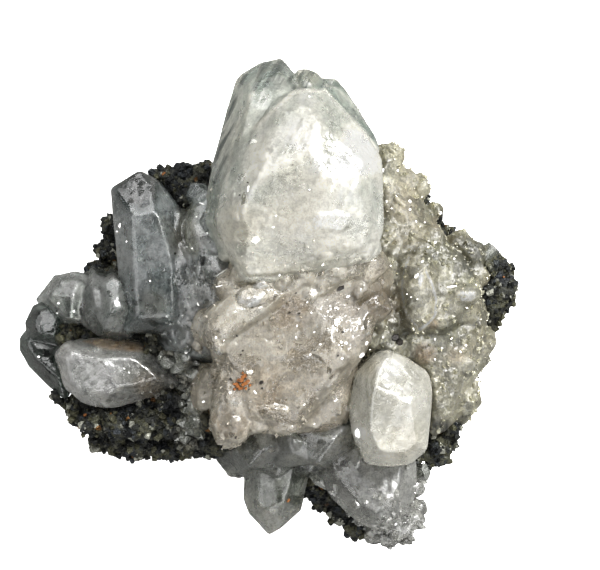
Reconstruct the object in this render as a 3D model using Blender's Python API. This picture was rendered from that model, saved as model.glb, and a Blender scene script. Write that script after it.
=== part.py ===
"""Anglesite specimen: milky and clear crystals grown on a slab of dark granular ore.

The specimen lies on the flat broken back of its matrix. +X runs to the right and +Y away from the viewer,
as it is seen from above, and +Z points up, out of the crystals. The origin is at the middle of the base.
"""

import math
import random

import bmesh
import bpy
from mathutils import Matrix, Vector, noise

MM = 0.001
GAP = 0.3  # clearance between a crystal and its socket, mm
WIDE = 90.0  # block that each crystal is cut from, mm
SEED = 41
LONG_EDGE = 4.0  # edges longer than this are worn, mm
SIDE_TILT = 89  # degrees from +Z
FLAT_ANGLE = 0.6  # faces closer than this in direction are one, degrees

# Driving dimensions of the matrix slab, mm
SLAB_WIDEST = 5.0  # height of the widest ring
SLAB_TOP = 10.6  # height of the middle of the slab
SLAB_ROUGHNESS = 0.55
CENTRAL_FLOOR = 8.0  # bed of the central crystal
CRUST_FLOOR = 6.2  # bed of the right-hand crust
CRYSTAL_FOOT = 5.4  # underside of the crystals that stand in sockets

# The slab's outline from above, anticlockwise from the right-hand knob, mm
SLAB_OUTLINE = [
    (29.7, 1.5), (28.8, 4.4), (25.8, 6.4), (22.4, 9.5), (18.6, 13.8), (14.4, 16.2), (8.5, 17.2), (2.5, 17.3),
    (-3.0, 16.1), (-6.4, 14.8), (-8.8, 16.2), (-12.3, 15.5), (-14.6, 13.5), (-18.2, 11.8), (-18.9, 8.4),
    (-19.5, 4.6), (-23.0, 1.4), (-26.2, -0.8), (-28.0, -4.2), (-26.7, -7.9), (-23.8, -11.7), (-21.3, -15.2),
    (-19.4, -17.2), (-13.6, -18.0), (-7.6, -17.9), (-3.0, -18.6), (1.4, -19.6), (4.9, -21.8), (6.9, -23.9),
    (9.4, -26.6), (13.4, -28.6), (16.6, -26.6), (18.2, -21.6), (21.6, -19.0), (23.6, -14.6), (25.4, -9.2),
    (27.2, -4.4), (29.4, -1.0),
]
# Rings of the slab from the base up: share of the outline, height in mm
SLAB_RINGS = [(0.87, 0.0), (0.955, 1.9), (1.0, SLAB_WIDEST), (0.975, 7.2), (0.88, 9.2), (0.6, 10.2), (0.28, SLAB_TOP)]

# Lumps that make the slab's visible ledges: x, y, z, radius, mm
SLAB_LUMPS = [
    (-12.5, 15.6, 8.6, 1.7), (-10.3, 16.2, 9.0, 1.6), (-8.0, 15.9, 9.4, 1.6), (-9.6, 13.6, 10.6, 1.9),
    (-12.0, 12.8, 9.6, 1.6), (-7.6, 13.1, 11.2, 1.6), (-14.2, 14.2, 7.0, 1.4), (-6.9, 16.4, 7.4, 1.4),
    (27.9, 4.8, 7.6, 1.9), (28.8, 2.7, 6.6, 2.1), (28.5, 0.2, 6.2, 2.0), (26.3, 6.0, 8.2, 1.8),
    (22.9, 10.1, 8.6, 1.3), (29.1, 4.2, 4.6, 1.6), (29.5, 0.9, 4.0, 1.4),
    (-20.7, -16.9, 4.4, 1.3), (-18.2, -17.3, 6.0, 1.7), (-15.5, -17.4, 7.0, 1.6), (-12.4, -17.6, 6.4, 1.6),
    (-9.4, -17.6, 7.2, 1.5), (-6.2, -17.4, 7.6, 1.6), (-3.6, -18.0, 7.4, 1.4), (-23.2, -13.4, 5.8, 1.6),
    (-21.2, -14.2, 8.0, 1.7), (-18.0, -14.8, 9.0, 1.8), (-14.6, -14.6, 9.6, 1.9), (-11.4, -14.8, 9.2, 1.7),
    (-8.8, -13.2, 10.0, 1.7), (-11.6, -12.0, 10.2, 1.6), (-25.6, -11.0, 5.2, 1.4),
    (22.9, -14.6, 7.4, 1.6), (22.2, -17.4, 6.2, 1.5), (21.4, -19.2, 5.2, 1.2), (24.0, -13.0, 5.4, 1.3),
    (7.4, -24.2, 5.6, 1.4), (9.4, -26.2, 5.0, 1.4), (11.6, -27.6, 5.0, 1.5), (13.8, -28.6, 4.4, 1.3),
    (5.6, -22.2, 6.4, 1.3), (-19.2, 10.2, 6.4, 1.3), (-19.9, 7.0, 5.8, 1.3), (-20.5, 3.8, 6.2, 1.4),
    (-13.6, -2.6, 11.0, 1.6), (-11.2, -4.6, 11.4, 1.7), (-13.8, -4.6, 10.6, 1.4), (-24.4, -3.6, 8.4, 1.6),
    (-22.4, -4.4, 8.8, 1.4), (-9.2, -8.2, 10.6, 1.6), (-8.8, -5.6, 11.4, 1.5),
]
RIM_LUMP_SPACING = 3.4
RIM_LUMP_RADIUS = (0.8, 1.35)

CRYSTAL_COLOUR = (0.78, 0.77, 0.73)
GREY_CRYSTAL_COLOUR = (0.45, 0.48, 0.49)
CRUST_COLOUR = (0.60, 0.57, 0.48)
MATRIX_COLOUR = (0.055, 0.055, 0.052)

# A crystal is its convex outline seen from above (anticlockwise), its foot and shoulder heights, the tilt of the
# shoulder and its tops. A top is a point on the face, then the azimuth it leans to (0 along +X, 90 along +Y) and
# its tilt. All are in mm and degrees.
MAIN_FRONT = ([
    (-2.8, 3.2), (0.5, 2.9), (7.5, 4.3), (13.2, 5.8), (14.4, 9.6), (14.2, 17.9), (11.6, 21.6), (7.3, 26.0),
    (4.3, 26.3), (0.7, 24.7), (-2.2, 20.8), (-5.3, 14.0), (-5.75, 10.1),
], 7.4, 25.6, 52, [
    (3.0, 13.0, 30.6, 215, 8), (10.4, 18.6, 28.9, 28, 30), (11.5, 10.0, 28.6, 325, 24), (2.2, 21.6, 28.8, 125, 30),
    (2.0, 7.4, 28.6, 262, 30), (4.0, 17.5, 8.4, 90, 140),
])
MAIN_BACK = ([
    (-5.5, 5.3), (4.0, 6.0), (7.0, 24.0), (3.75, 28.4), (2.0, 30.3), (-0.4, 29.8), (-3.1, 28.1), (-3.9, 26.1),
    (-6.6, 15.7), (-7.1, 10.1),
], 6.9, 20.0, 66, [
    (-0.5, 18.0, 25.6, 200, 12), (-4.4, 18.0, 23.6, 172, 52), (0.3, 27.4, 23.4, 95, 40), (0.0, 17.0, 7.6, 95, 146),
])
MAIN_SIDE_SLAB = ([
    (3.0, 22.0), (6.0, 20.0), (8.0, 24.0), (7.3, 27.4), (6.4, 28.5), (5.2, 28.95), (4.2, 28.9), (3.4, 27.6),
], 10.6, 20.8, 50, [(5.6, 26.5, 22.6, 80, 12), (5.0, 20.0, 11.6, 90, 146)])
MAIN_RIGHT_SLAB = ([
    (7.0, 18.0), (13.0, 16.0), (14.0, 19.0), (13.7, 20.7), (9.8, 26.6), (8.7, 27.8), (7.2, 27.8), (6.2, 27.0),
    (5.6, 24.0),
], 8.6, 18.2, 52, [(10.0, 23.0, 21.2, 45, 20), (10.0, 18.0, 9.4, 60, 146)])
CENTRAL_BLOCK = ([
    (-2.3, -14.2), (3.5, -14.9), (5.3, -13.9), (10.9, -7.6), (12.7, -4.5), (13.4, -1.8), (13.2, 4.0), (12.0, 6.0),
    (0.0, 4.6), (-4.4, 1.1), (-6.8, -1.2), (-7.4, -3.4), (-4.9, -8.9),
], 6.4, 21.2, 54, [(2.0, -5.0, 23.9, 268, 8), (9.6, -1.5, 23.0, 10, 26), (-5.4, -5.4, 23.4, 205, 30)])
CENTRAL_LEDGE = ([
    (-7.4, -3.4), (-5.0, -5.0), (1.9, -0.2), (2.2, 3.8), (0.0, 4.6), (-4.4, 1.1), (-6.8, -1.2),
], 7.0, 23.6, 46, [(-4.0, 0.3, 25.5, 318, 14)])
FINGER = ([
    (-6.2, -15.4), (-5.0, -16.8), (-4.0, -17.2), (-3.0, -16.6), (-2.2, -15.3), (-2.1, -12.0), (-2.6, -8.4),
    (-4.2, -7.6), (-5.6, -8.6), (-6.3, -10.8), (-6.45, -13.4),
], 7.2, 21.4, 52, [(-4.2, -12.0, 23.1, 262, 8)])
CENTRAL_FLANKS = [
    ([
        (-7.6, -9.2), (-6.9, -12.2), (-6.2, -12.8), (-5.4, -12.0), (-4.8, -9.0), (-5.2, -7.4), (-6.5, -7.6),
    ], 7.6, 17.8, 52, [(-6.2, -10.0, 19.6, 215, 14)]),
    ([
        (-8.8, -1.6), (-8.7, -3.6), (-7.7, -4.9), (-6.0, -4.6), (-5.8, 0.4), (-7.4, -0.2),
    ], 7.3, 18.6, 50, [(-7.4, -2.6, 20.4, 150, 14)]),
    ([
        (7.2, 3.4), (8.6, 1.4), (11.4, 1.2), (13.0, 3.6), (12.8, 5.8), (11.2, 7.2), (8.6, 6.8), (7.2, 5.4),
    ], 7.5, 22.0, 50, [(10.4, 4.2, 23.8, 30, 16)]),
    ([
        (10.6, 0.6), (12.8, -1.2), (15.2, 0.8), (15.5, 3.6), (14.4, 5.9), (11.6, 6.2),
    ], 7.7, 16.6, 50, [(13.4, 2.6, 18.6, 345, 20)]),
    ([
        (3.0, -15.4), (7.5, -15.9), (9.6, -14.5), (11.1, -12.0), (11.6, -8.0), (8.0, -6.6), (3.0, -10.0),
    ], 7.1, 17.6, 54, [(7.6, -12.4, 19.7, 300, 10)]),
]
CRUST_UPPER = ([
    (10.0, -3.5), (27.5, -3.5), (27.8, 1.5), (27.1, 5.8), (17.1, 17.0), (15.9, 19.0), (13.6, 19.2), (10.0, 17.0),
], 5.1, 10.2, 58, [(18.0, 8.0, 14.2, 48, 9)])
CRUST_LOWER = ([
    (12.0, -16.0), (22.0, -16.0), (24.4, -13.8), (27.4, -4.4), (27.2, -1.0), (12.0, -1.0),
], 4.9, 9.6, 58, [(20.0, -6.0, 13.2, 320, 10)])
CRUST_HUMP = ([
    (16.5, -3.6), (22.5, -3.8), (25.6, -0.6), (25.8, 4.0), (22.4, 8.0), (17.6, 9.4), (14.4, 6.0), (14.0, 0.4),
], 4.7, 13.0, 64, [(20.6, 2.0, 15.4, 200, 9), (22.8, 4.2, 14.8, 30, 26)])
CRUST_LONG_CRYSTAL = ([
    (17.2, -2.6), (19.2, -3.2), (20.9, -2.2), (21.4, 1.0), (20.9, 5.0), (19.4, 6.4), (17.4, 5.9), (16.8, 2.5),
], 5.3, 15.8, 50, [(19.0, 1.6, 17.4, 210, 9)])
CRUST_OVAL_CRYSTAL = ([
    (22.6, 1.0), (23.6, 0.4), (25.6, 0.3), (26.8, 1.1), (26.7, 2.1), (25.6, 2.6), (23.5, 2.6), (22.6, 1.9),
], 5.0, 15.3, 46, [(24.7, 1.5, 16.3, 60, 6)])
# Knobs of the crust that stand out along its edge: x, y, z, radius, lean azimuth, lean tilt
CRUST_KNOBS = [
    (15.7, 18.1, 10.2, 1.7, 80, 30), (13.4, 17.7, 10.4, 1.5, 100, 30), (19.4, 14.4, 9.2, 1.0, 55, 60),
    (21.4, 11.9, 9.0, 1.0, 40, 50), (17.8, 15.6, 9.6, 1.3, 60, 40), (24.3, 7.7, 8.8, 1.6, 40, 40),
    (26.0, 6.4, 8.4, 1.6, 20, 35), (26.4, 3.6, 8.2, 1.5, 0, 40), (27.6, -4.4, 7.6, 1.4, 345, 55),
    (26.4, -6.4, 8.0, 1.5, 340, 40), (25.2, -9.2, 8.2, 1.5, 350, 45), (25.0, -11.9, 7.8, 1.7, 350, 45),
    (24.6, -13.9, 7.4, 1.1, 330, 60), (24.4, -6.9, 10.4, 1.9, 340, 20), (22.9, -5.2, 11.2, 1.6, 20, 15),
    (22.4, -9.4, 10.6, 1.6, 300, 20), (13.3, 12.8, 13.6, 1.6, 20, 20), (14.6, 8.9, 13.6, 1.5, 340, 25),
    (16.9, 11.4, 12.9, 1.4, 60, 20), (20.9, 8.6, 12.6, 1.4, 60, 20), (14.8, 4.4, 14.4, 1.7, 300, 20),
    (14.0, 1.2, 14.6, 1.6, 330, 15), (15.6, -2.2, 13.8, 1.5, 270, 20), (19.8, -5.4, 12.4, 1.5, 200, 15),
    (23.4, 5.2, 11.8, 1.5, 30, 25),
]
LOWER_RIGHT_CRYSTAL = ([
    (11.0, -16.0), (12.6, -19.3), (15.0, -19.8), (17.9, -19.4), (19.9, -17.8), (20.4, -14.3), (20.6, -10.2),
    (20.0, -8.3), (16.9, -6.2), (15.0, -5.6), (13.1, -6.4), (11.0, -8.6), (10.5, -12.0),
], 5.6, 18.6, 52, [
    (14.6, -13.0, 21.9, 245, 8), (17.6, -9.6, 20.7, 62, 34), (17.4, -16.4, 21.0, 310, 20),
])
LEFT_CRYSTAL = ([
    (-17.4, -3.2), (-9.2, -3.4), (-9.0, 6.0), (-10.6, 12.0), (-13.4, 15.5), (-15.6, 16.6), (-19.0, 14.5),
], 5.4, 14.8, 56, [
    (-14.2, 6.0, 18.2, 215, 7), (-10.6, 6.0, 17.4, 8, 48), (-14.8, 13.6, 16.9, 108, 36),
    (-15.0, 12.0, 5.9, 100, 138),
])
LEFT_INNER_CRYSTAL = ([
    (-12.5, -4.4), (-7.0, -4.0), (-6.6, 6.0), (-7.2, 9.6), (-9.5, 11.4), (-12.0, 9.5), (-13.0, 4.0),
], 5.9, 13.4, 54, [(-9.6, 4.0, 16.2, 75, 8), (-7.6, 2.0, 15.4, 350, 34)])
SMALL_OUTER_CRYSTAL = ([
    (-26.75, 0.7), (-21.2, -3.4), (-20.4, -1.8), (-20.8, 1.2), (-21.6, 3.4), (-23.75, 4.1), (-25.9, 3.6),
    (-26.75, 2.3),
], 4.6, 11.2, 52, [(-23.4, 0.8, 13.1, 200, 7), (-24.0, 1.4, 4.8, 130, 134)])
SMALL_INNER_CRYSTAL = ([
    (-21.0, -3.6), (-18.2, -4.4), (-15.6, -3.2), (-15.4, -1.0), (-16.8, 1.4), (-17.9, 2.5), (-21.0, 2.5),
], 5.0, 10.4, 50, [(-18.2, -0.8, 12.2, 60, 9)])
LOWER_LEFT_CRYSTAL = ([
    (-26.2, -6.3), (-25.0, -10.2), (-22.5, -12.2), (-19.4, -12.8), (-15.6, -11.8), (-10.8, -10.0), (-10.6, -9.2),
    (-12.5, -7.2), (-14.4, -5.4), (-16.2, -4.5), (-20.6, -4.1), (-24.9, -4.6),
], 4.8, 10.4, 56, [(-17.4, -9.0, 13.8, 33, 9), (-21.2, -9.6, 12.9, 214, 26), (-19.4, -5.6, 12.9, 88, 42)])
FAR_LEFT_UPPER = ([
    (-30.0, -2.2), (-29.6, -4.6), (-25.0, -5.5), (-24.5, -1.5), (-25.4, 0.2), (-27.0, 0.7), (-29.0, -0.1),
], 2.8, 7.4, 52, [(-27.2, -2.2, 9.2, 120, 14)])
FAR_LEFT_LOWER = ([
    (-30.7, -4.1), (-30.7, -5.6), (-29.6, -7.6), (-27.3, -9.9), (-25.2, -11.7), (-24.0, -9.0), (-24.6, -4.4),
    (-27.0, -3.2), (-29.6, -2.7),
], 2.5, 6.6, 52, [(-27.8, -6.6, 8.3, 70, 12), (-28.6, -6.6, 2.8, 215, 145)])
BOTTOM_LEFT_CRYSTAL = ([
    (-2.3, -17.5), (-2.5, -24.3), (-1.9, -26.0), (0.5, -28.6), (1.9, -27.8), (4.3, -25.6), (5.0, -23.0),
    (5.7, -19.9), (6.4, -16.6), (6.2, -14.8), (-1.4, -14.2),
], 3.2, 8.6, 58, [
    (0.2, -21.0, 11.9, 195, 24), (2.6, -21.6, 12.1, 350, 12), (1.4, -26.0, 10.9, 265, 40),
    (1.5, -20.0, 3.5, 268, 156),
])
BOTTOM_RIGHT_CRYSTAL = ([
    (6.1, -19.3), (6.9, -21.6), (8.75, -24.3), (11.9, -27.2), (14.4, -28.2), (16.9, -27.4), (18.4, -24.3),
    (18.75, -21.8), (18.6, -17.6), (12.0, -15.4), (6.4, -16.4),
], 4.0, 9.6, 56, [(11.4, -23.0, 12.8, 222, 13), (15.0, -21.6, 12.9, 42, 12), (15.6, -26.0, 12.0, 300, 34)])
# Clear broken chips at the outer end of the bottom right crystal
BOTTOM_RIGHT_CHIPS = [
    (13.9, -28.4, 6.6, 1.3, 250, 40), (15.6, -29.0, 7.0, 1.15, 270, 50), (16.9, -27.7, 8.2, 1.3, 280, 30),
    (18.4, -26.6, 7.6, 1.25, 320, 45), (19.0, -25.4, 6.8, 1.05, 340, 60), (17.4, -28.8, 5.8, 0.95, 300, 60),
    (18.7, -22.9, 7.2, 1.1, 350, 60),
]
# Outlines that bound the right-hand crust and the central crystal with all their knobs
CRUST_BED = [
    (8.5, -16.3), (23.0, -16.3), (26.4, -14.6), (28.8, -5.0), (28.7, 4.6), (27.6, 7.8), (18.6, 18.2), (16.6, 20.0),
    (13.4, 20.1), (8.5, 17.5),
]
CENTRAL_BED = [
    (-9.2, -4.5), (-7.8, -12.6), (-6.8, -15.8), (-4.2, -17.7), (8.2, -16.2), (11.8, -13.0), (15.8, -0.5),
    (15.7, 6.2), (13.0, 7.6), (-1.0, 6.2), (-8.9, -0.6),
]
# Bands of the central crystal that carry small knobs: corner, corner, height range, how many
CENTRAL_KNOB_BANDS = [
    ((-3.6, 1.6), (2.4, 5.2), (22.3, 23.8), 5),
    ((2.2, 1.0), (11.0, 5.4), (22.2, 24.4), 9),
    ((8.2, -6.4), (11.6, 1.4), (20.2, 22.2), 6),
    ((-6.6, -6.6), (-4.2, -1.0), (22.6, 23.6), 3),
]


def clear_scene():
    for old in list(bpy.data.objects):
        bpy.data.objects.remove(old)


def make_material(name, colour, roughness, metallic=0.0, clear=0.0):
    material = bpy.data.materials.new(name)
    material.use_nodes = True
    shader = material.node_tree.nodes["Principled BSDF"]
    shader.inputs["Base Color"].default_value = (*colour, 1.0)
    shader.inputs["Roughness"].default_value = roughness
    shader.inputs["Metallic"].default_value = metallic
    shader.inputs["Transmission Weight"].default_value = clear
    return material


def direction(azimuth, tilt):
    around, down = math.radians(azimuth), math.radians(tilt)
    return Vector((math.sin(down) * math.cos(around), math.sin(down) * math.sin(around), math.cos(down)))


def planes_of(crystal, grow=0.0):
    """The crystal's faces as (point, normal), moved out by grow: sides, shoulders, tops and foot."""
    outline, foot, shoulder, shoulder_tilt, tops = crystal
    planes = []
    for (x0, y0), (x1, y1) in zip(outline, outline[1:] + outline[:1]):
        across = math.degrees(math.atan2(y1 - y0, x1 - x0)) - 90
        for tilt in (SIDE_TILT, shoulder_tilt):
            planes.append((Vector((x0, y0, shoulder)), direction(across, tilt)))
    for x, y, z, azimuth, tilt in tops:
        planes.append((Vector((x, y, z)), direction(azimuth, tilt)))
    planes.append((Vector((outline[0][0], outline[0][1], foot)), Vector((0, 0, -1))))
    return [(point + normal * grow, normal) for point, normal in planes]


def middle_of(crystal):
    outline, foot, shoulder = crystal[:3]
    across = sum(x for x, y in outline) / len(outline)
    along = sum(y for x, y in outline) / len(outline)
    return Vector((across, along, (foot + shoulder) / 2))


def cut_block(centre, planes):
    """A block cut down by planes, each cut closed with a flat face."""
    bm = bmesh.new()
    bmesh.ops.create_cube(bm, size=WIDE * MM, matrix=Matrix.Translation(Vector(centre) * MM))
    for point, normal in planes:
        whole = bm.verts[:] + bm.edges[:] + bm.faces[:]
        cut = bmesh.ops.bisect_plane(
            bm, geom=whole, dist=1e-7, plane_co=point * MM, plane_no=normal, clear_outer=True
        )
        rim = [edge for edge in cut["geom_cut"] if isinstance(edge, bmesh.types.BMEdge)]
        if len(rim) > 2:
            bmesh.ops.contextual_create(bm, geom=rim)
    bmesh.ops.remove_doubles(bm, verts=bm.verts, dist=0.02 * MM)
    bmesh.ops.dissolve_degenerate(bm, edges=bm.edges, dist=0.01 * MM)
    bmesh.ops.recalc_face_normals(bm, faces=bm.faces)
    return bm


def object_from(bm, name, helper=False):
    bmesh.ops.triangulate(bm, faces=bm.faces)
    mesh = bpy.data.meshes.new(name)
    bm.to_mesh(mesh)
    bm.free()
    made = bpy.data.objects.new(name, mesh)
    bpy.context.scene.collection.objects.link(made)
    if helper:
        made.hide_render = True
        made.display_type = "WIRE"
    return made


def worn_planes(bm, depth):
    """Planes that take a narrow flat off every long edge of a convex block."""
    planes = []
    for edge in bm.edges:
        if edge.calc_length() > LONG_EDGE * MM:
            normal = (edge.link_faces[0].normal + edge.link_faces[1].normal).normalized()
            planes.append((edge.verts[0].co / MM - normal * depth, normal))
    return planes


def solid_crystal(crystal, name, edge=0.0, grow=0.0):
    """One crystal as a helper object, its long edges worn flat."""
    planes, middle = planes_of(crystal, grow), middle_of(crystal)
    bm = cut_block(middle, planes)
    if edge:
        planes += worn_planes(bm, edge)
        bm.free()
        bm = cut_block(middle, planes)
    return object_from(bm, name, helper=True)


def knob(x, y, z, radius, lean_azimuth, lean_tilt, rng, length=1.5):
    """A stubby crystal: a worn six-sided prism with a flat-topped tip, leaning away from the vertical."""
    lean = Vector((0, 0, 1)).rotation_difference(direction(lean_azimuth, lean_tilt))
    spin = rng.uniform(0, 60)
    local = [(0, 180, radius * length), (0, 0, radius * rng.uniform(0.9, 1.1))]
    for side in range(6):
        local.append((spin + side * 60, 90, radius * rng.uniform(0.78, 1.0)))
    for side in range(3):
        local.append((spin + side * 120 + rng.uniform(-9, 9), 46, radius * rng.uniform(1.0, 1.15)))
    centre = Vector((x, y, z))
    planes = []
    for azimuth, tilt, distance in local:
        normal = lean @ direction(azimuth, tilt)
        planes.append((centre + normal * distance, normal))
    return centre, planes


def grain(x, y, z, radius, rng):
    """An irregular faceted lump of rock."""
    centre = Vector((x, y, z))
    planes = []
    count = 8
    for index in range(count):
        height = 1 - 2 * (index + 0.5) / count
        around = index * 137.5 + rng.uniform(-18, 18)
        normal = direction(around, math.degrees(math.acos(height)) + rng.uniform(-9, 9))
        planes.append((centre + normal * radius * rng.uniform(0.72, 1.05), normal))
    return centre, planes


def lump_object(lump, name, limits=()):
    centre, planes = lump
    return object_from(cut_block(centre, planes + list(limits)), name, helper=True)


def boolean(target, operation, others):
    """Applies one Boolean of the target with every other object, and removes those."""
    group = bpy.data.collections.new(target.name + "_tools")
    bpy.context.scene.collection.children.link(group)
    for other in others:
        bpy.context.scene.collection.objects.unlink(other)
        group.objects.link(other)
    modifier = target.modifiers.new("join", "BOOLEAN")
    modifier.operation = operation
    modifier.solver = "EXACT"
    if len(others) == 1:
        modifier.object = others[0]
    else:
        modifier.operand_type = "COLLECTION"
        modifier.collection = group
    graph = bpy.context.evaluated_depsgraph_get()
    graph.update()
    shaped = bpy.data.meshes.new_from_object(target.evaluated_get(graph))
    target.modifiers.clear()
    old = target.data
    target.data = shaped
    bpy.data.meshes.remove(old)
    for other in others:
        bpy.data.objects.remove(other)
    bpy.data.collections.remove(group)


def island_volume(faces):
    total = 0.0
    for face in faces:
        corners = [loop.vert.co for loop in face.loops]
        for second, third in zip(corners[1:], corners[2:]):
            total += corners[0].dot(second.cross(third)) / 6
    return total


def keep_largest(target):
    """Keeps the biggest closed body of a mesh, so that no crumb is left by a cut."""
    bm = bmesh.new()
    bm.from_mesh(target.data)
    bmesh.ops.remove_doubles(bm, verts=bm.verts, dist=0.002 * MM)
    bmesh.ops.triangulate(bm, faces=bm.faces)
    left = set(bm.faces)
    islands = []
    while left:
        seed = left.pop()
        island, front = {seed}, [seed]
        while front:
            face = front.pop()
            for edge in face.edges:
                for other in edge.link_faces:
                    if other in left:
                        left.discard(other)
                        island.add(other)
                        front.append(other)
        islands.append(island)
    biggest = max(islands, key=island_volume)
    crumbs = [face for island in islands if island is not biggest for face in island]
    bmesh.ops.delete(bm, geom=crumbs, context="FACES")
    bmesh.ops.dissolve_limit(bm, angle_limit=math.radians(FLAT_ANGLE), verts=bm.verts, edges=bm.edges)
    bmesh.ops.triangulate(bm, faces=bm.faces)
    bm.to_mesh(target.data)
    bm.free()


def finish_node(target, name, material, location=(0, 0, 0)):
    keep_largest(target)
    target.name = name
    target.data.name = name
    target.data.materials.clear()
    target.data.materials.append(material)
    target.hide_render = False
    target.display_type = "TEXTURED"
    target.data.shade_flat()
    target.location = location
    return target


def slab_ring(bm, share, height, level):
    """One ring of the slab: the outline drawn in towards its middle, roughened except at the base."""
    verts = []
    for x, y in SLAB_OUTLINE:
        spot = Vector((x * share, y * share, height))
        if level:
            shake = noise.noise_vector(spot * 0.31 + Vector((7.0, 3.0, 1.0)))
            spot += shake * SLAB_ROUGHNESS * 1.6
        verts.append(bm.verts.new(spot * MM))
    return [bm.edges.new((verts[i - 1], verts[i])) for i in range(len(verts))]


def make_slab():
    bm = bmesh.new()
    rings = [slab_ring(bm, share, height, level) for level, (share, height) in enumerate(SLAB_RINGS)]
    for low, high in zip(rings, rings[1:]):
        bmesh.ops.bridge_loops(bm, edges=low + high)
    for rim in (rings[0], rings[-1]):
        bmesh.ops.contextual_create(bm, geom=rim)
    bmesh.ops.recalc_face_normals(bm, faces=bm.faces)
    bmesh.ops.triangulate(bm, faces=bm.faces)
    for vert in bm.verts:
        if vert.co.z > 0.5 * MM:
            rough = noise.turbulence(vert.co / MM * 0.55, 3, False, noise_basis="PERLIN_ORIGINAL")
            vert.co += vert.normal * (rough - 0.35) * SLAB_ROUGHNESS * MM
    return object_from(bm, "matrix", helper=True)


def rim_lumps(rng):
    """Grains set all along the slab's edge, at its widest ring."""
    placed = []
    for (x0, y0), (x1, y1) in zip(SLAB_OUTLINE, SLAB_OUTLINE[1:] + SLAB_OUTLINE[:1]):
        run = math.hypot(x1 - x0, y1 - y0)
        steps = max(1, round(run / RIM_LUMP_SPACING))
        for step in range(steps):
            share = (step + rng.uniform(0.3, 0.7)) / steps
            radius = rng.uniform(*RIM_LUMP_RADIUS)
            height = SLAB_WIDEST + rng.uniform(-2.2, 1.8)
            placed.append((0.99 * (x0 + (x1 - x0) * share), 0.99 * (y0 + (y1 - y0) * share), height, radius))
    return placed


def grown(crystals, prefix):
    """The crystals a gap larger all round, as cutters for what they stand in."""
    return [solid_crystal(crystal, f"{prefix}_{i}", grow=GAP) for i, crystal in enumerate(crystals)]


def grown_knobs(knobs, prefix):
    made = []
    for index, (centre, planes) in enumerate(knobs):
        moved = [(point + normal * GAP, normal) for point, normal in planes]
        made.append(lump_object((centre, moved), f"{prefix}_{index}"))
    return made


def joined(crystals, name, edge, knobs=()):
    """Crystals that grew into each other, as one solid."""
    target = solid_crystal(crystals[0], name, edge=edge)
    others = [solid_crystal(crystal, f"{name}_{i}", edge=edge) for i, crystal in enumerate(crystals[1:])]
    others += [lump_object(item, f"{name}_knob_{i}") for i, item in enumerate(knobs)]
    if others:
        boolean(target, "UNION", others)
    return target


def central_knobs(rng):
    made = []
    for (x0, y0), (x1, y1), (low, high), count in CENTRAL_KNOB_BANDS:
        for index in range(count):
            x = x0 + (x1 - x0) * (index + rng.uniform(0.2, 0.8)) / count
            y = rng.uniform(min(y0, y1), max(y0, y1))
            z = rng.uniform(low, high)
            made.append(knob(x, y, z - 1.0, rng.uniform(0.9, 1.5), rng.uniform(200, 340), rng.uniform(5, 30), rng))
    return made


def crust_socket(members, knobs, outline, floor, name):
    """The space a crust needs in what lies under it: its members and knobs, a gap larger, on its bed."""
    target, *others = grown(members, name) + grown_knobs(knobs, f"{name}_knob")
    boolean(target, "UNION", others)
    boolean(target, "INTERSECT", [bed(outline, floor, f"{name}_limit", GAP)])
    return target


def bed(outline, floor, name, grow=0.0):
    """A prism on a floor, open to well above the specimen: it bounds a crust, or cuts the crust's bed."""
    crystal = (outline, floor, 20.0, SIDE_TILT, [(0.0, 0.0, 40.0, 0, 0)])
    return object_from(cut_block(middle_of(crystal), planes_of(crystal, grow)), name, helper=True)


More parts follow.
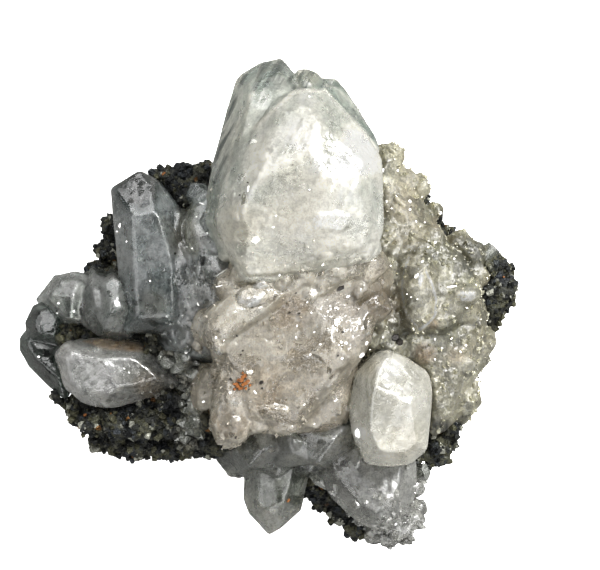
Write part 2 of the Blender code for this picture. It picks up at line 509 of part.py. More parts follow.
def build():
    clear_scene()
    rng = random.Random(SEED)
    milky = make_material("milky crystal", CRYSTAL_COLOUR, 0.25, clear=0.4)
    grey = make_material("grey clear crystal", GREY_CRYSTAL_COLOUR, 0.22, clear=0.6)
    crust = make_material("small crystal crust", CRUST_COLOUR, 0.3, clear=0.35)
    ore = make_material("dark granular ore", MATRIX_COLOUR, 0.5, metallic=0.3)

    main_members = [MAIN_FRONT, MAIN_BACK, MAIN_SIDE_SLAB, MAIN_RIGHT_SLAB]
    central_members = [CENTRAL_BLOCK, CENTRAL_LEDGE, FINGER] + CENTRAL_FLANKS
    crust_members = [CRUST_UPPER, CRUST_LOWER, CRUST_HUMP, CRUST_LONG_CRYSTAL, CRUST_OVAL_CRYSTAL]
    left_members = [LEFT_CRYSTAL, LEFT_INNER_CRYSTAL]
    small_members = [SMALL_OUTER_CRYSTAL, SMALL_INNER_CRYSTAL]
    far_members = [FAR_LEFT_UPPER, FAR_LEFT_LOWER]

    main = joined(main_members, "main", edge=0.12)
    finish_node(main, "main_crystal", milky)

    knobs = central_knobs(rng)
    centre = joined(central_members, "centre", edge=0, knobs=knobs)
    boolean(centre, "INTERSECT", [bed(CENTRAL_BED, CENTRAL_FLOOR, "central_limit")])
    boolean(centre, "DIFFERENCE", grown(main_members, "main_socket"))
    finish_node(centre, "central_crystal", milky)

    lower_right = joined([LOWER_RIGHT_CRYSTAL], "lower_right", edge=0.12)
    boolean(lower_right, "DIFFERENCE", grown(central_members, "centre_socket"))
    finish_node(lower_right, "lower_right_crystal", milky)

    crust_lumps = [knob(*row, rng) for row in CRUST_KNOBS]
    right = joined(crust_members, "crust", edge=0, knobs=crust_lumps)
    boolean(right, "INTERSECT", [bed(CRUST_BED, CRUST_FLOOR, "crust_limit")])
    boolean(right, "DIFFERENCE", grown(main_members + central_members + [LOWER_RIGHT_CRYSTAL], "crust_socket"))
    finish_node(right, "right_crust", crust)

    left = joined(left_members, "left", edge=0.1)
    boolean(left, "DIFFERENCE", grown(main_members + central_members, "left_socket"))
    finish_node(left, "left_crystals", grey)

    small = joined(small_members, "small", edge=0)
    boolean(small, "DIFFERENCE", grown(left_members, "small_socket"))
    finish_node(small, "small_left_crystals", grey)

    lower_left = joined([LOWER_LEFT_CRYSTAL], "lower_left", edge=0.1)
    boolean(lower_left, "DIFFERENCE", grown(small_members, "lower_left_socket"))
    finish_node(lower_left, "lower_left_crystal", milky)

    far_left = joined(far_members, "far_left", edge=0)
    boolean(far_left, "DIFFERENCE", grown(small_members + [LOWER_LEFT_CRYSTAL], "far_left_socket"))
    finish_node(far_left, "far_left_crystals", grey)

    bottom_left = joined([BOTTOM_LEFT_CRYSTAL], "bottom_left", edge=0.1)
    boolean(bottom_left, "DIFFERENCE", grown(central_members, "bottom_left_socket"))
    finish_node(bottom_left, "bottom_left_crystal", grey)

    chips = [knob(*row, rng) for row in BOTTOM_RIGHT_CHIPS]
    bottom_right = joined([BOTTOM_RIGHT_CRYSTAL], "bottom_right", edge=0, knobs=chips)
    cutters = grown(central_members + [LOWER_RIGHT_CRYSTAL, BOTTOM_LEFT_CRYSTAL], "bottom_right_socket")
    cutters.append(crust_socket(crust_members, crust_lumps, CRUST_BED, CRUST_FLOOR, "crust_side"))
    boolean(bottom_right, "DIFFERENCE", cutters)
    finish_node(bottom_right, "bottom_right_crystal", grey)

    slab = make_slab()
    lumps = [grain(*row, rng) for row in SLAB_LUMPS + rim_lumps(rng)]
    base = [(Vector((0, 0, 0)), Vector((0, 0, -1)))]
    boolean(slab, "UNION", [lump_object(item, f"lump_{i}", base) for i, item in enumerate(lumps)])
    standing = main_members + left_members + small_members + far_members
    standing += [LOWER_LEFT_CRYSTAL, LOWER_RIGHT_CRYSTAL, BOTTOM_LEFT_CRYSTAL, BOTTOM_RIGHT_CRYSTAL]
    sockets = grown(standing, "socket") + grown_knobs(chips, "chip_socket")
    sockets.append(crust_socket(crust_members, crust_lumps, CRUST_BED, CRUST_FLOOR, "crust_bed"))
    sockets.append(crust_socket(central_members, [], CENTRAL_BED, CENTRAL_FLOOR, "central_bed"))
    boolean(slab, "DIFFERENCE", sockets)
    finish_node(slab, "matrix", ore)

    nodes = [node for node in bpy.data.objects if not node.hide_render]
    low = Vector([min(v.co[axis] for node in nodes for v in node.data.vertices) for axis in range(3)])
    high = Vector([max(v.co[axis] for node in nodes for v in node.data.vertices) for axis in range(3)])
    for node in nodes:
        node.data.transform(Matrix.Translation((-(low.x + high.x) / 2, -(low.y + high.y) / 2, -low.z)))
    print("size in mm", [round(side / MM, 2) for side in high - low], "shift", [round(side / MM, 3) for side in low])


build()
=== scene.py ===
import math
import random

import bmesh
import bpy
import numpy as np
from mathutils import Matrix, Vector, noise
from mathutils.bvhtree import BVHTree


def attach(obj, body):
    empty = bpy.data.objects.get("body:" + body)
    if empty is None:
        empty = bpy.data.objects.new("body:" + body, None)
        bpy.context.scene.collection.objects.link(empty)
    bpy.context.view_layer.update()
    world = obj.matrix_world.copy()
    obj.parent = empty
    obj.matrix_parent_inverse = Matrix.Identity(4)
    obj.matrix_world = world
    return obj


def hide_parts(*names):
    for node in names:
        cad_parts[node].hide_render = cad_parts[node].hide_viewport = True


# Anglesite specimen: milky and clear crystals on a slab of dark granular ore, seen from straight above.
# Lengths in the settings are in millimetres unless their name says otherwise. Places marked u, v are pixels
# of the 600 x 570 photo, read at 8 pixels to the millimetre.
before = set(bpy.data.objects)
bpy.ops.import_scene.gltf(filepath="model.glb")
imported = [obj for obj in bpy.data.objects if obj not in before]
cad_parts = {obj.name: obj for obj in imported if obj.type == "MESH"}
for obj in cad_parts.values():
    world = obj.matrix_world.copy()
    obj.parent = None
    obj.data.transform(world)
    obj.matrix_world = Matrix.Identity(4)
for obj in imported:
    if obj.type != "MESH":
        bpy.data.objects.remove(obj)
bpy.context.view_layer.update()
mm = 0.001

photo = {"pxPerMm": 8.0, "middleU": 300, "middleV": 285, "middleX": 3.92, "middleY": 2.56}
finish = {
    "voxel": 0.24,  # mesh size of a crystal that names none of its own
    "lowestRoot": 4.0,  # how far down the roots of the small crystals go
    "oreVoxel": 0.42,
    "swell": 0.15,  # how far a crystal grows to meet its neighbours
    "veilBend": 0.0022,  # how far the veils bend out of line, in metres
    "smallShare": 2.2,  # larger makes more of the scattered pieces small
    "toneSeed": 91,
    "seed": 7,
}


def photoToWorld(u, v):
    x = photo["middleX"] + (u - photo["middleU"]) / photo["pxPerMm"]
    y = photo["middleY"] - (v - photo["middleV"]) / photo["pxPerMm"]
    return x * mm, y * mm


# mesh helpers


def newPiece(name, mesh):
    piece = bpy.data.objects.new(name, mesh)
    bpy.context.scene.collection.objects.link(piece)
    return piece


def copyOfNode(nodeName, pieceName):
    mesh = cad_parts[nodeName].data.copy()
    mesh.name = pieceName
    mesh.materials.clear()
    bm = bmesh.new()
    bm.from_mesh(mesh)
    bmesh.ops.remove_doubles(bm, verts=bm.verts, dist=0.001 * mm)
    bmesh.ops.recalc_face_normals(bm, faces=bm.faces)
    bm.to_mesh(mesh)
    bm.free()
    return newPiece(pieceName, mesh)


def applyModifiers(piece):
    graph = bpy.context.evaluated_depsgraph_get()
    graph.update()
    shaped = bpy.data.meshes.new_from_object(piece.evaluated_get(graph))
    old = piece.data
    piece.modifiers.clear()
    piece.data = shaped
    bpy.data.meshes.remove(old)


def remesh(piece, voxel, smoothing):
    grid = piece.modifiers.new("grid", "REMESH")
    grid.mode = "VOXEL"
    grid.voxel_size = voxel * mm
    grid.use_smooth_shade = True
    soften = piece.modifiers.new("soften", "SMOOTH")
    soften.factor = 0.5
    soften.iterations = smoothing
    applyModifiers(piece)


def cutBlock(sides):
    # a convex block cut out by planes given as azimuth, tilt and distance from the middle
    bm = bmesh.new()
    bmesh.ops.create_cube(bm, size=8.0)
    for azimuth, tilt, distance in sides:
        around, down = math.radians(azimuth), math.radians(tilt)
        normal = Vector((math.sin(down) * math.cos(around), math.sin(down) * math.sin(around),
            math.cos(down)))
        cut = bmesh.ops.bisect_plane(
            bm, geom=bm.verts[:] + bm.edges[:] + bm.faces[:], plane_co=normal * distance, plane_no=normal,
            clear_outer=True,
        )
        rim = [item for item in cut["geom_cut"] if isinstance(item, bmesh.types.BMEdge)]
        if len(rim) > 2:
            bmesh.ops.contextual_create(bm, geom=rim)
    bmesh.ops.remove_doubles(bm, verts=bm.verts, dist=0.01)
    bmesh.ops.recalc_face_normals(bm, faces=bm.faces)
    return bm


def growBluntCrystals(piece, places, seed):
    # blunt crystals rooted in the piece: u, v, height of the top, length, width, turn and lean
    dice = random.Random(seed)
    bm = bmesh.new()
    bm.from_mesh(piece.data)
    for u, v, top, length, width, turn, lean in places:
        count = dice.choice((5, 6, 7))
        sides = [(0, 180, 3.4)]
        for index in range(count):
            sides.append((index * 360 / count + dice.uniform(-12, 12), 86, dice.uniform(0.42, 0.56)))
        for index in range(4):
            sides.append((index * 90 + dice.uniform(-30, 30), dice.uniform(28, 58), dice.uniform(0.3, 0.42)))
        sides.append((dice.uniform(0, 360), dice.uniform(5, 20), 0.4))
        block = cutBlock(sides)
        high = max(vert.co.z for vert in block.verts)
        bmesh.ops.translate(block, verts=block.verts, vec=(0, 0, -high))
        bmesh.ops.scale(block, verts=block.verts, vec=(length * mm, width * mm, 0.5 * (length + width) * mm))
        bmesh.ops.rotate(block, verts=block.verts, matrix=Matrix.Rotation(math.radians(lean), 3, "Y"))
        bmesh.ops.rotate(block, verts=block.verts, matrix=Matrix.Rotation(math.radians(turn), 3, "Z"))
        x, y = photoToWorld(u, v)
        bmesh.ops.translate(block, verts=block.verts, vec=(x, y, top * mm))
        for vert in block.verts:
            vert.co.z = max(vert.co.z, finish["lowestRoot"] * mm)
        part = bpy.data.meshes.new("part")
        block.to_mesh(part)
        block.free()
        bm.from_mesh(part)
        bpy.data.meshes.remove(part)
    bm.to_mesh(piece.data)
    bm.free()


def plateShapes(count, seed):
    # low blunt crystal heads, one across: bevelled rims and a top that leans a little
    dice = random.Random(seed)
    shapesMade = []
    for index in range(count):
        corners = dice.choice((4, 5, 6, 6, 7))
        sides = [(0, 180, 0.4)]
        for step in range(corners):
            turn = step * 360 / corners + dice.uniform(-14, 14)
            sides.append((turn, 84, dice.uniform(0.36, 0.56)))
            if dice.random() < 0.75:
                sides.append((turn + dice.uniform(-8, 8), dice.uniform(24, 48), dice.uniform(0.24, 0.34)))
        sides.append((dice.uniform(0, 360), dice.uniform(2, 9), 0.15))
        block = cutBlock(sides)
        mesh = bpy.data.meshes.new("plate")
        block.to_mesh(mesh)
        block.free()
        shapesMade.append(mesh)
    return shapesMade


def growPlates(piece, plan, seed):
    # covers the piece with blunt crystal heads, closest together where plan["where"] is high
    dice = random.Random(seed)
    shapesMade = plateShapes(9, seed)
    paintPiece(piece, "plates", plan["where"])
    mesh = piece.data
    share = np.empty(len(mesh.vertices))
    mesh.attributes["plates"].data.foreach_get("value", share)
    weights = [face.area * share[face.vertices[0]] * (face.normal.z > -0.2) for face in mesh.polygons]
    chosen = dice.choices(range(len(weights)), weights=weights, k=plan["count"])
    bm = bmesh.new()
    for index in chosen:
        face = mesh.polygons[index]
        size = plan["size"][0] + (plan["size"][1] - plan["size"][0]) * dice.random() ** 1.6
        lean = Vector((dice.uniform(-1, 1), dice.uniform(-1, 1), dice.uniform(-1, 1))) * plan["lean"]
        aim = (face.normal + lean).normalized().to_track_quat("Z", "Y").to_matrix().to_4x4()
        grow = Matrix.Diagonal((size * mm, size * dice.uniform(0.6, 1.0) * mm, size * plan["proud"] * mm, 1))
        part = dice.choice(shapesMade).copy()
        part.transform(Matrix.Translation(face.center) @ aim @ Matrix.Rotation(dice.uniform(0, math.tau), 4,
            "Z") @ grow)
        bm.from_mesh(part)
        bpy.data.meshes.remove(part)
    bm.from_mesh(mesh)
    bm.to_mesh(mesh)
    bm.free()
    for shape in shapesMade:
        bpy.data.meshes.remove(shape)


def cellRelief(spot, size):
    # blunt crystal heads: each cell leans its own way and a groove runs round it
    distances, centres = noise.voronoi(spot / size)
    turn = noise.cell(centres[0] * 17.3) * math.tau
    lean = noise.cell(centres[0] * 31.7 + Vector((9, 4, 1)))
    offset = spot / size - centres[0]
    slope = (offset.x * math.cos(turn) + offset.y * math.sin(turn)) * (0.4 + 0.8 * lean)
    return smoothStep(0.0, 0.3, distances[1] - distances[0]) * 0.6 + slope


def wearSurface(piece, wear):
    # moves each vertex along its normal: swell, raised patches, unevenness, steps, etch and crystal heads
    bm = bmesh.new()
    bm.from_mesh(piece.data)
    bm.normal_update()
    shift = Vector((3.1, 7.7, 1.9)) * wear["shift"]
    heads = np.zeros(len(bm.verts))
    piece.data.attributes["druse"].data.foreach_get("value", heads)
    places = np.array([vert.co for vert in bm.verts])
    relief = np.zeros(len(bm.verts))
    for height, soft, corners in wear.get("relief", ()):
        relief += height * insidePatch(places, corners, soft)
    moved = []
    for vert, share, raised in zip(bm.verts, heads, relief):
        spot = vert.co / mm + shift
        push = wear["swell"] + raised * max(0.0, vert.normal.z)
        push += wear["uneven"] * noise.noise(spot / wear["unevenSize"])
        steps = noise.noise(spot / wear["stepSize"] + Vector((0, 0, 40))) * wear["stepCount"]
        push += wear["stepHeight"] * (math.floor(steps) + min(1.0,
            (steps - math.floor(steps)) * 5) - steps * 0.6)
        push += wear["etch"] * noise.noise(spot / wear["etchSize"])
        if share > 0.02:
            push += share * wear["heads"] * (cellRelief(spot, wear["headSize"]) - 0.3)
            push += share * wear["heads"] * 0.5 * (cellRelief(spot + shift, wear["headSize"] * 0.45) - 0.3)
        moved.append(vert.co + vert.normal * push * mm)
    for vert, place in zip(bm.verts, moved):
        vert.co = place
    bm.to_mesh(piece.data)
    bm.free()
    piece.data.shade_smooth()


def ridges(piece, rounds):
    # how far each vertex stands out of its surroundings, in millimetres: ridges above 0, grooves below
    mesh = piece.data
    count = len(mesh.vertices)
    places = np.empty(count * 3)
    mesh.vertices.foreach_get("co", places)
    places = places.reshape(-1, 3)
    normals = np.empty(count * 3)
    mesh.vertex_normals.foreach_get("vector", normals)
    normals = normals.reshape(-1, 3)
    pairs = np.empty(len(mesh.edges) * 2, dtype=np.int64)
    mesh.edges.foreach_get("vertices", pairs)
    pairs = pairs.reshape(-1, 2)
    linked = np.bincount(pairs.ravel(), minlength=count).astype(float)
    soft = places.copy()
    for _ in range(rounds):
        total = np.zeros_like(soft)
        for axis in range(3):
            total[:, axis] += np.bincount(pairs[:, 0], weights=soft[pairs[:, 1], axis], minlength=count)
            total[:, axis] += np.bincount(pairs[:, 1], weights=soft[pairs[:, 0], axis], minlength=count)
        soft = 0.5 * soft + 0.5 * total / linked[:, None]
    return ((places - soft) * normals).sum(axis=1) / mm


def awayFromLine(places, corners, closed):
    # distance in photo pixels to a line through the corners, and which places lie inside it
    spots = [photoToWorld(u, v) for u, v in corners]
    if closed:
        spots.append(spots[0])
    inside = np.zeros(len(places), dtype=bool)
    nearest = np.full(len(places), 1e9)
    x, y = places[:, 0], places[:, 1]
    for (ax, ay), (bx, by) in zip(spots, spots[1:]):
        dx, dy = bx - ax, by - ay
        along = np.clip(((x - ax) * dx + (y - ay) * dy) / (dx * dx + dy * dy), 0, 1)
        nearest = np.minimum(nearest, np.hypot(x - ax - along * dx, y - ay - along * dy))
        if ay != by:
            inside ^= ((ay > y) != (by > y)) & (x < dx * (y - ay) / dy + ax)
    return nearest / mm * photo["pxPerMm"], inside


def insidePatch(places, corners, soft):
    # 1 inside an outline given in photo pixels, 0 outside, soft pixels wide at the edge
    away, inside = awayFromLine(places, corners, True)
    return np.clip(0.5 + 0.5 * np.where(inside, away, -away) / soft, 0, 1)


def paintPiece(piece, name, plan, extra=None):
    # a float attribute: a base value, cloudy variation, soft round spots, outlined patches and drawn lines
    attribute = piece.data.attributes.get(name) or piece.data.attributes.new(name, "FLOAT", "POINT")
    count = len(piece.data.vertices)
    places = np.empty(count * 3)
    piece.data.vertices.foreach_get("co", places)
    places = places.reshape(-1, 3)
    values = np.full(count, float(plan.get("base", 0)))
    if plan.get("cloud"):
        size = plan["size"] * mm
        values += [plan["cloud"] * noise.noise((x / size + 11, y / size + 5, z / size + 2)) for x, y,
            z in places]
    for u, v, radius, strength in plan.get("spots", ()):
        x, y = photoToWorld(u, v)
        away = np.hypot(places[:, 0] - x, places[:, 1] - y) / (radius / photo["pxPerMm"] * mm)
        share = np.clip((1.5 - away) / 1.0, 0, 1)
        values += strength * share * share * (3 - 2 * share)
    for strength, soft, corners in plan.get("patches", ()):
        values += strength * insidePatch(places, corners, soft)
    for strength, width, corners in plan.get("lines", ()):
        values += strength * np.clip(1.5 - awayFromLine(places, corners, False)[0] / width, 0, 1)
    if extra is not None:
        values += extra
    attribute.data.foreach_set("value", np.clip(values, 0, 1).astype(np.float32))


def smoothStep(low, high, value):
    share = min(1.0, max(0.0, (value - low) / (high - low)))
    return share * share * (3 - 2 * share)


# shader groups


def newGroup(name, inputs, outputs):
    # inputs by label: None makes a vector, a number makes a float with that default
    group = bpy.data.node_groups.new(name, "ShaderNodeTree")
    for label, default in inputs.items():
        kind = "NodeSocketVector" if default is None else "NodeSocketFloat"
        socket = group.interface.new_socket(label, in_out="INPUT", socket_type=kind)
        if default is not None:
            socket.default_value = default
    for label in outputs:
        kind = "NodeSocketVector" if label == "Normal" else "NodeSocketFloat"
        group.interface.new_socket(label, in_out="OUTPUT", socket_type=kind)
    start, end = group.nodes.new("NodeGroupInput"), group.nodes.new("NodeGroupOutput")
    return group, start.outputs, end.inputs


def addNode(tree, kind, values=None, **settings):
    # a value that is another node's socket is linked, any other is set
    node = tree.nodes.new(kind)
    for key, value in settings.items():
        setattr(node, key, value)
    for key, value in (values or {}).items():
        if isinstance(value, bpy.types.NodeSocket):
            tree.links.new(value, node.inputs[key])
        else:
            node.inputs[key].default_value = value
    return node


def maths(tree, operation, first, second, clamp=False):
    node = addNode(tree, "ShaderNodeMath", {0: first, 1: second}, operation=operation, use_clamp=clamp)
    return node.outputs[0]


def vectorMaths(tree, operation, first, second):
    key = "Scale" if operation == "SCALE" else 1
    node = addNode(tree, "ShaderNodeVectorMath", {0: first, key: second}, operation=operation)
    return node.outputs[0]


def mapped(tree, value, target, source=(0.0, 1.0), kind="LINEAR"):
    # takes a value from the source range to the target range
    limits = {"From Min": source[0], "From Max": source[1], "To Min": target[0], "To Max": target[1]}
    node = addNode(tree, "ShaderNodeMapRange", {"Value": value, **limits}, interpolation_type=kind)
    return node.outputs[0]


def noiseOver(tree, vector, scale, detail, roughness=0.5, distortion=0.0):
    values = {"Vector": vector, "Scale": scale, "Detail": detail}
    values.update({"Roughness": roughness, "Distortion": distortion})
    return addNode(tree, "ShaderNodeTexNoise", values).outputs


def cellsOver(tree, vector, scale, feature="F1"):
    return addNode(tree, "ShaderNodeTexVoronoi", {"Vector": vector, "Scale": scale}, feature=feature).outputs


def channelOf(tree, colour, channel):
    return addNode(tree, "ShaderNodeSeparateColor", {"Color": colour}).outputs[channel]


def spreadOver(group, value, contrast):
    # stretches a noise round 0.5, more for a smaller contrast value
    source = maths(group, "SUBTRACT", 0.5, contrast), maths(group, "ADD", 0.5, contrast)
    return mapped(group, value, (0.0, 1.0), source, "SMOOTHSTEP")


def cloudGroup():
    # soft veils inside a crystal, from 0 to 1
    group, start, end = newGroup("cloudyVeils", {"Vector": None, "Scale": 250, "Contrast": 0.2}, ("Value",))
    warp = noiseOver(group, start["Vector"], start["Scale"], 2.0)
    bend = vectorMaths(group, "SCALE", warp["Color"], finish["veilBend"])
    moved = vectorMaths(group, "ADD", start["Vector"], bend)
    veils = noiseOver(group, moved, start["Scale"], 4.0, 0.62)
    group.links.new(spreadOver(group, veils["Fac"], start["Contrast"]), end["Value"])
    return group


def speckGroup():
    # small scattered specks: 1 inside a speck, 0 outside
    inputs = {"Vector": None, "Scale": 700, "Share": 0.1, "Size": 0.3}
    group, start, end = newGroup("scatteredSpecks", inputs, ("Mask",))
    cells = cellsOver(group, start["Vector"], start["Scale"])
    rim = maths(group, "MULTIPLY", start["Size"], 0.6), start["Size"]
    inside = mapped(group, cells["Distance"], (1.0, 0.0), rim, "SMOOTHSTEP")
    chosen = maths(group, "LESS_THAN", channelOf(group, cells["Color"], "Red"), start["Share"])
    group.links.new(maths(group, "MULTIPLY", inside, chosen), end["Mask"])
    return group


def grainGroup():
    # even mottling, from 0 to 1
    group, start, end = newGroup("fineGrain", {"Vector": None, "Scale": 1500, "Contrast": 0.14}, ("Value",))
    grain = noiseOver(group, start["Vector"], start["Scale"], 2.0, 0.6)
    group.links.new(spreadOver(group, grain["Fac"], start["Contrast"]), end["Value"])
    return group


def lineGroup():
    # fine lines drawn along one direction of a crystal, from 0 to 1
    inputs = {"Vector": None, "Scale": 1500, "Contrast": 0.12, "Turn": 0.0, "Stretch": 0.1}
    group, start, end = newGroup("drawnLines", inputs, ("Value",))
    turn = {"Vector": start["Vector"], "Angle": start["Turn"]}
    turned = addNode(group, "ShaderNodeVectorRotate", turn, rotation_type="Z_AXIS").outputs[0]
    ratio = {"X": 1.0, "Y": start["Stretch"], "Z": start["Stretch"]}
    ratio = addNode(group, "ShaderNodeCombineXYZ", ratio).outputs[0]
    lines = noiseOver(group, vectorMaths(group, "MULTIPLY", turned, ratio), start["Scale"], 3.0, 0.6)
    group.links.new(spreadOver(group, lines["Fac"], start["Contrast"]), end["Value"])
    return group


def fleckGroup():
    # ragged pale flecks that cover more of the surface as Amount grows
    group, start, end = newGroup("raggedFlecks", {"Vector": None, "Scale": 2600, "Amount": 0.0}, ("Mask",))
    rough = noiseOver(group, start["Vector"], start["Scale"], 2.0, 0.65, 0.8)
    level = mapped(group, rough["Fac"], (0.0, 1.0), (0.28, 0.72))
    raised = maths(group, "ADD", level, start["Amount"])
    group.links.new(mapped(group, raised, (0.0, 1.0), (0.96, 1.1), "SMOOTHSTEP"), end["Mask"])
    return group


def cellGroup():
    # outlines and tones of many crystals grown into each other
    inputs = {"Vector": None, "Scale": 500, "Width": 0.07, "Bend": 0.0006}
    group, start, end = newGroup("grownCells", inputs, ("Tone", "Line"))
    warp = noiseOver(group, start["Vector"], start["Scale"], 3.0, 0.6)
    centred = vectorMaths(group, "SUBTRACT", warp["Color"], (0.5, 0.5, 0.5))
    moved = vectorMaths(group, "ADD", start["Vector"], vectorMaths(group, "SCALE", centred, start["Bend"]))
    tones = cellsOver(group, moved, start["Scale"])
    group.links.new(channelOf(group, tones["Color"], "Green"), end["Tone"])
    rims = cellsOver(group, moved, start["Scale"], "DISTANCE_TO_EDGE")
    line = mapped(group, rims["Distance"], (1.0, 0.0), (0.0, start["Width"]), "SMOOTHSTEP")
    breaks = mapped(group, warp["Fac"], (0.0, 1.0), (0.42, 0.6), "SMOOTHSTEP")
    group.links.new(maths(group, "MULTIPLY", line, breaks), end["Line"])
    return group


def glintGroup():
    # tiny facets that each lean their own way; a share of them leans hard and is polished
    inputs = {"Vector": None, "Scale": 2500, "Lean": 0.15, "Strong Lean": 1.0, "Share": 0.2}
    group, start, end = newGroup("tinyFacets", inputs, ("Normal", "Polish"))
    cells = cellsOver(group, start["Vector"], start["Scale"])
    dice = addNode(group, "ShaderNodeTexWhiteNoise", {"Vector": cells["Position"]}, noise_dimensions="3D")
    chosen = maths(group, "LESS_THAN", dice.outputs["Value"], start["Share"])
    leans = {"Factor": chosen, "A": start["Lean"], "B": start["Strong Lean"]}
    amount = addNode(group, "ShaderNodeMix", leans, data_type="FLOAT").outputs["Result"]
    centred = vectorMaths(group, "SUBTRACT", cells["Color"], (0.5, 0.5, 0.5))
    plain = addNode(group, "ShaderNodeNewGeometry").outputs["Normal"]
    added = vectorMaths(group, "ADD", plain, vectorMaths(group, "SCALE", centred, amount))
    unit = addNode(group, "ShaderNodeVectorMath", {0: added}, operation="NORMALIZE")
    group.links.new(unit.outputs[0], end["Normal"])
    group.links.new(chosen, end["Polish"])
    return group


groups = {
    "veils": cloudGroup(), "specks": speckGroup(), "glints": glintGroup(), "flecks": fleckGroup(),
    "cells": cellGroup(), "grain": grainGroup(), "lines": lineGroup(),
}
print("shader groups ready")


def placeGroup(tree, key, values, vector):
    return addNode(tree, "ShaderNodeGroup", {**values, "Vector": vector}, node_tree=groups[key]).outputs


def mixColour(tree, factor, first, second):
    first, second = ((*value, 1.0) if isinstance(value, tuple) else value for value in (first, second))
    mix = addNode(tree, "ShaderNodeMix", {"Factor": factor, "A": first, "B": second}, data_type="RGBA")
    return mix.outputs["Result"]


def scaled(tree, value, factor):
    return maths(tree, "MULTIPLY", value, factor, True)


def mottledColour(tree, colour, value, amount):
    # lightens and darkens a colour with a 0 to 1 pattern
    shine = mapped(tree, value, (1 - amount, 1 + amount))
    return addNode(tree, "ShaderNodeHueSaturation", {"Color": colour, "Value": shine}).outputs["Color"]


def painted(tree, name):
    return addNode(tree, "ShaderNodeAttribute", attribute_name=name).outputs["Fac"]


def newMaterial(name):
    # the material, its tree, its shader and the object's own coordinates
    material = bpy.data.materials.new(name)
    material.use_nodes = True
    tree = material.node_tree
    place = addNode(tree, "ShaderNodeTexCoord").outputs["Object"]
    return material, tree, tree.nodes["Principled BSDF"], place


def crystalMaterial(name, look):
    material, tree, shader, place = newMaterial(name)
    link = tree.links.new
    veilPlan = {"Scale": look["veilScale"], "Contrast": look["veilContrast"]}
    veils = placeGroup(tree, "veils", veilPlan, place)["Value"]
    mottlePlan = {"Scale": look["mottleScale"], "Contrast": look["mottleContrast"]}
    mottle = placeGroup(tree, "grain", mottlePlan, place)["Value"]
    grainPlan = {"Scale": look["grainScale"], "Contrast": look["grainContrast"]}
    grain = placeGroup(tree, "grain", grainPlan, place)["Value"]
    linePlan = {"Scale": look["lineScale"], "Turn": math.radians(look["lineTurn"])}
    lines = placeGroup(tree, "lines", {**linePlan, "Stretch": look["lineStretch"]}, place)["Value"]

    # clear to milky, driven by the painted value and broken up by the veils
    # the milk value also holds painted highlights on edges and lit facets and painted shading of the relief
    sway = {0: maths(tree, "SUBTRACT", veils, 0.5), 1: look["veilAmount"], 2: painted(tree, "milk")}
    spread = addNode(tree, "ShaderNodeMath", sway, operation="MULTIPLY_ADD", use_clamp=True).outputs[0]
    colour = mixColour(tree, spread, look["clear"], look["milky"])
    colour = mixColour(tree, painted(tree, "warm"), colour, look["warm"])
    colour = mottledColour(tree, colour, mottle, look["mottle"])
    colour = mottledColour(tree, colour, grain, look["grain"])
    cellPlan = {"Scale": look["cellScale"], "Bend": look["cellBend"] / look["cellScale"]}
    cells = placeGroup(tree, "cells", cellPlan, place)
    colour = mottledColour(tree, colour, cells["Tone"], look["cellTone"])
    colour = mixColour(tree, scaled(tree, cells["Line"], look["cellLine"]), colour, look["frost"])
    hatch = mapped(tree, lines, (1 - look["hatch"], 1.0))
    # the dark value also holds painted shade in creases
    colour = mixColour(tree, maths(tree, "MULTIPLY", hatch, painted(tree, "dark")), colour, look["dark"])
    # streaks: real striations, and on the main crystal painted glints
    colour = mixColour(tree, maths(tree, "MULTIPLY", lines, painted(tree, "streak")), colour, look["frost"])
    # pale flecks where the frost value is high; that value also holds painted highlights on ridges, edges and
    # facets
    fleckPlan = {"Scale": look["fleckScale"], "Amount": painted(tree, "frost")}
    flecks = placeGroup(tree, "flecks", fleckPlan, place)
    colour = mixColour(tree, flecks["Mask"], colour, look["frost"])
    speckPlan = {"Scale": look["speckScale"], "Share": look["speckShare"], "Size": look["speckSize"]}
    specks = placeGroup(tree, "specks", speckPlan, place)["Mask"]
    colour = mixColour(tree, scaled(tree, specks, look["speckStrength"]), colour, look["speck"])
    # small pale dots of the frost colour: painted glints
    dotPlan = {"Scale": look["dotScale"], "Share": look["dotShare"], "Size": look["dotSize"]}
    dots = placeGroup(tree, "specks", dotPlan, place)["Mask"]
    colour = mixColour(tree, dots, colour, look["frost"])
    link(colour, shader.inputs["Base Color"])

    glintPlan = {"Scale": look["glintScale"], "Lean": look["lean"], "Strong Lean": look["strongLean"]}
    glints = placeGroup(tree, "glints", {**glintPlan, "Share": look["glintShare"]}, place)
    polish = {"Factor": glints["Polish"], "A": mapped(tree, veils, look["roughness"]), "B": look["polish"]}
    rough = addNode(tree, "ShaderNodeMix", polish, data_type="FLOAT").outputs["Result"]
    link(rough, shader.inputs["Roughness"])
    relief = {0: lines, 1: look["lineDepth"], 2: mottle}
    height = addNode(tree, "ShaderNodeMath", relief, operation="MULTIPLY_ADD").outputs[0]
    etch = {"Height": height, "Normal": glints["Normal"], "Strength": look["etchStrength"]}
    bump = addNode(tree, "ShaderNodeBump", {**etch, "Distance": look["etchDepth"] * mm})
    link(bump.outputs["Normal"], shader.inputs["Normal"])

    shader.inputs["IOR"].default_value = look["ior"]
    shader.inputs["Transmission Weight"].default_value = look["transmission"]
    shader.inputs["Specular IOR Level"].default_value = look["gloss"]
    shader.inputs["Coat Weight"].default_value = look["coat"]
    shader.inputs["Coat Roughness"].default_value = look["coatRoughness"]
    return material


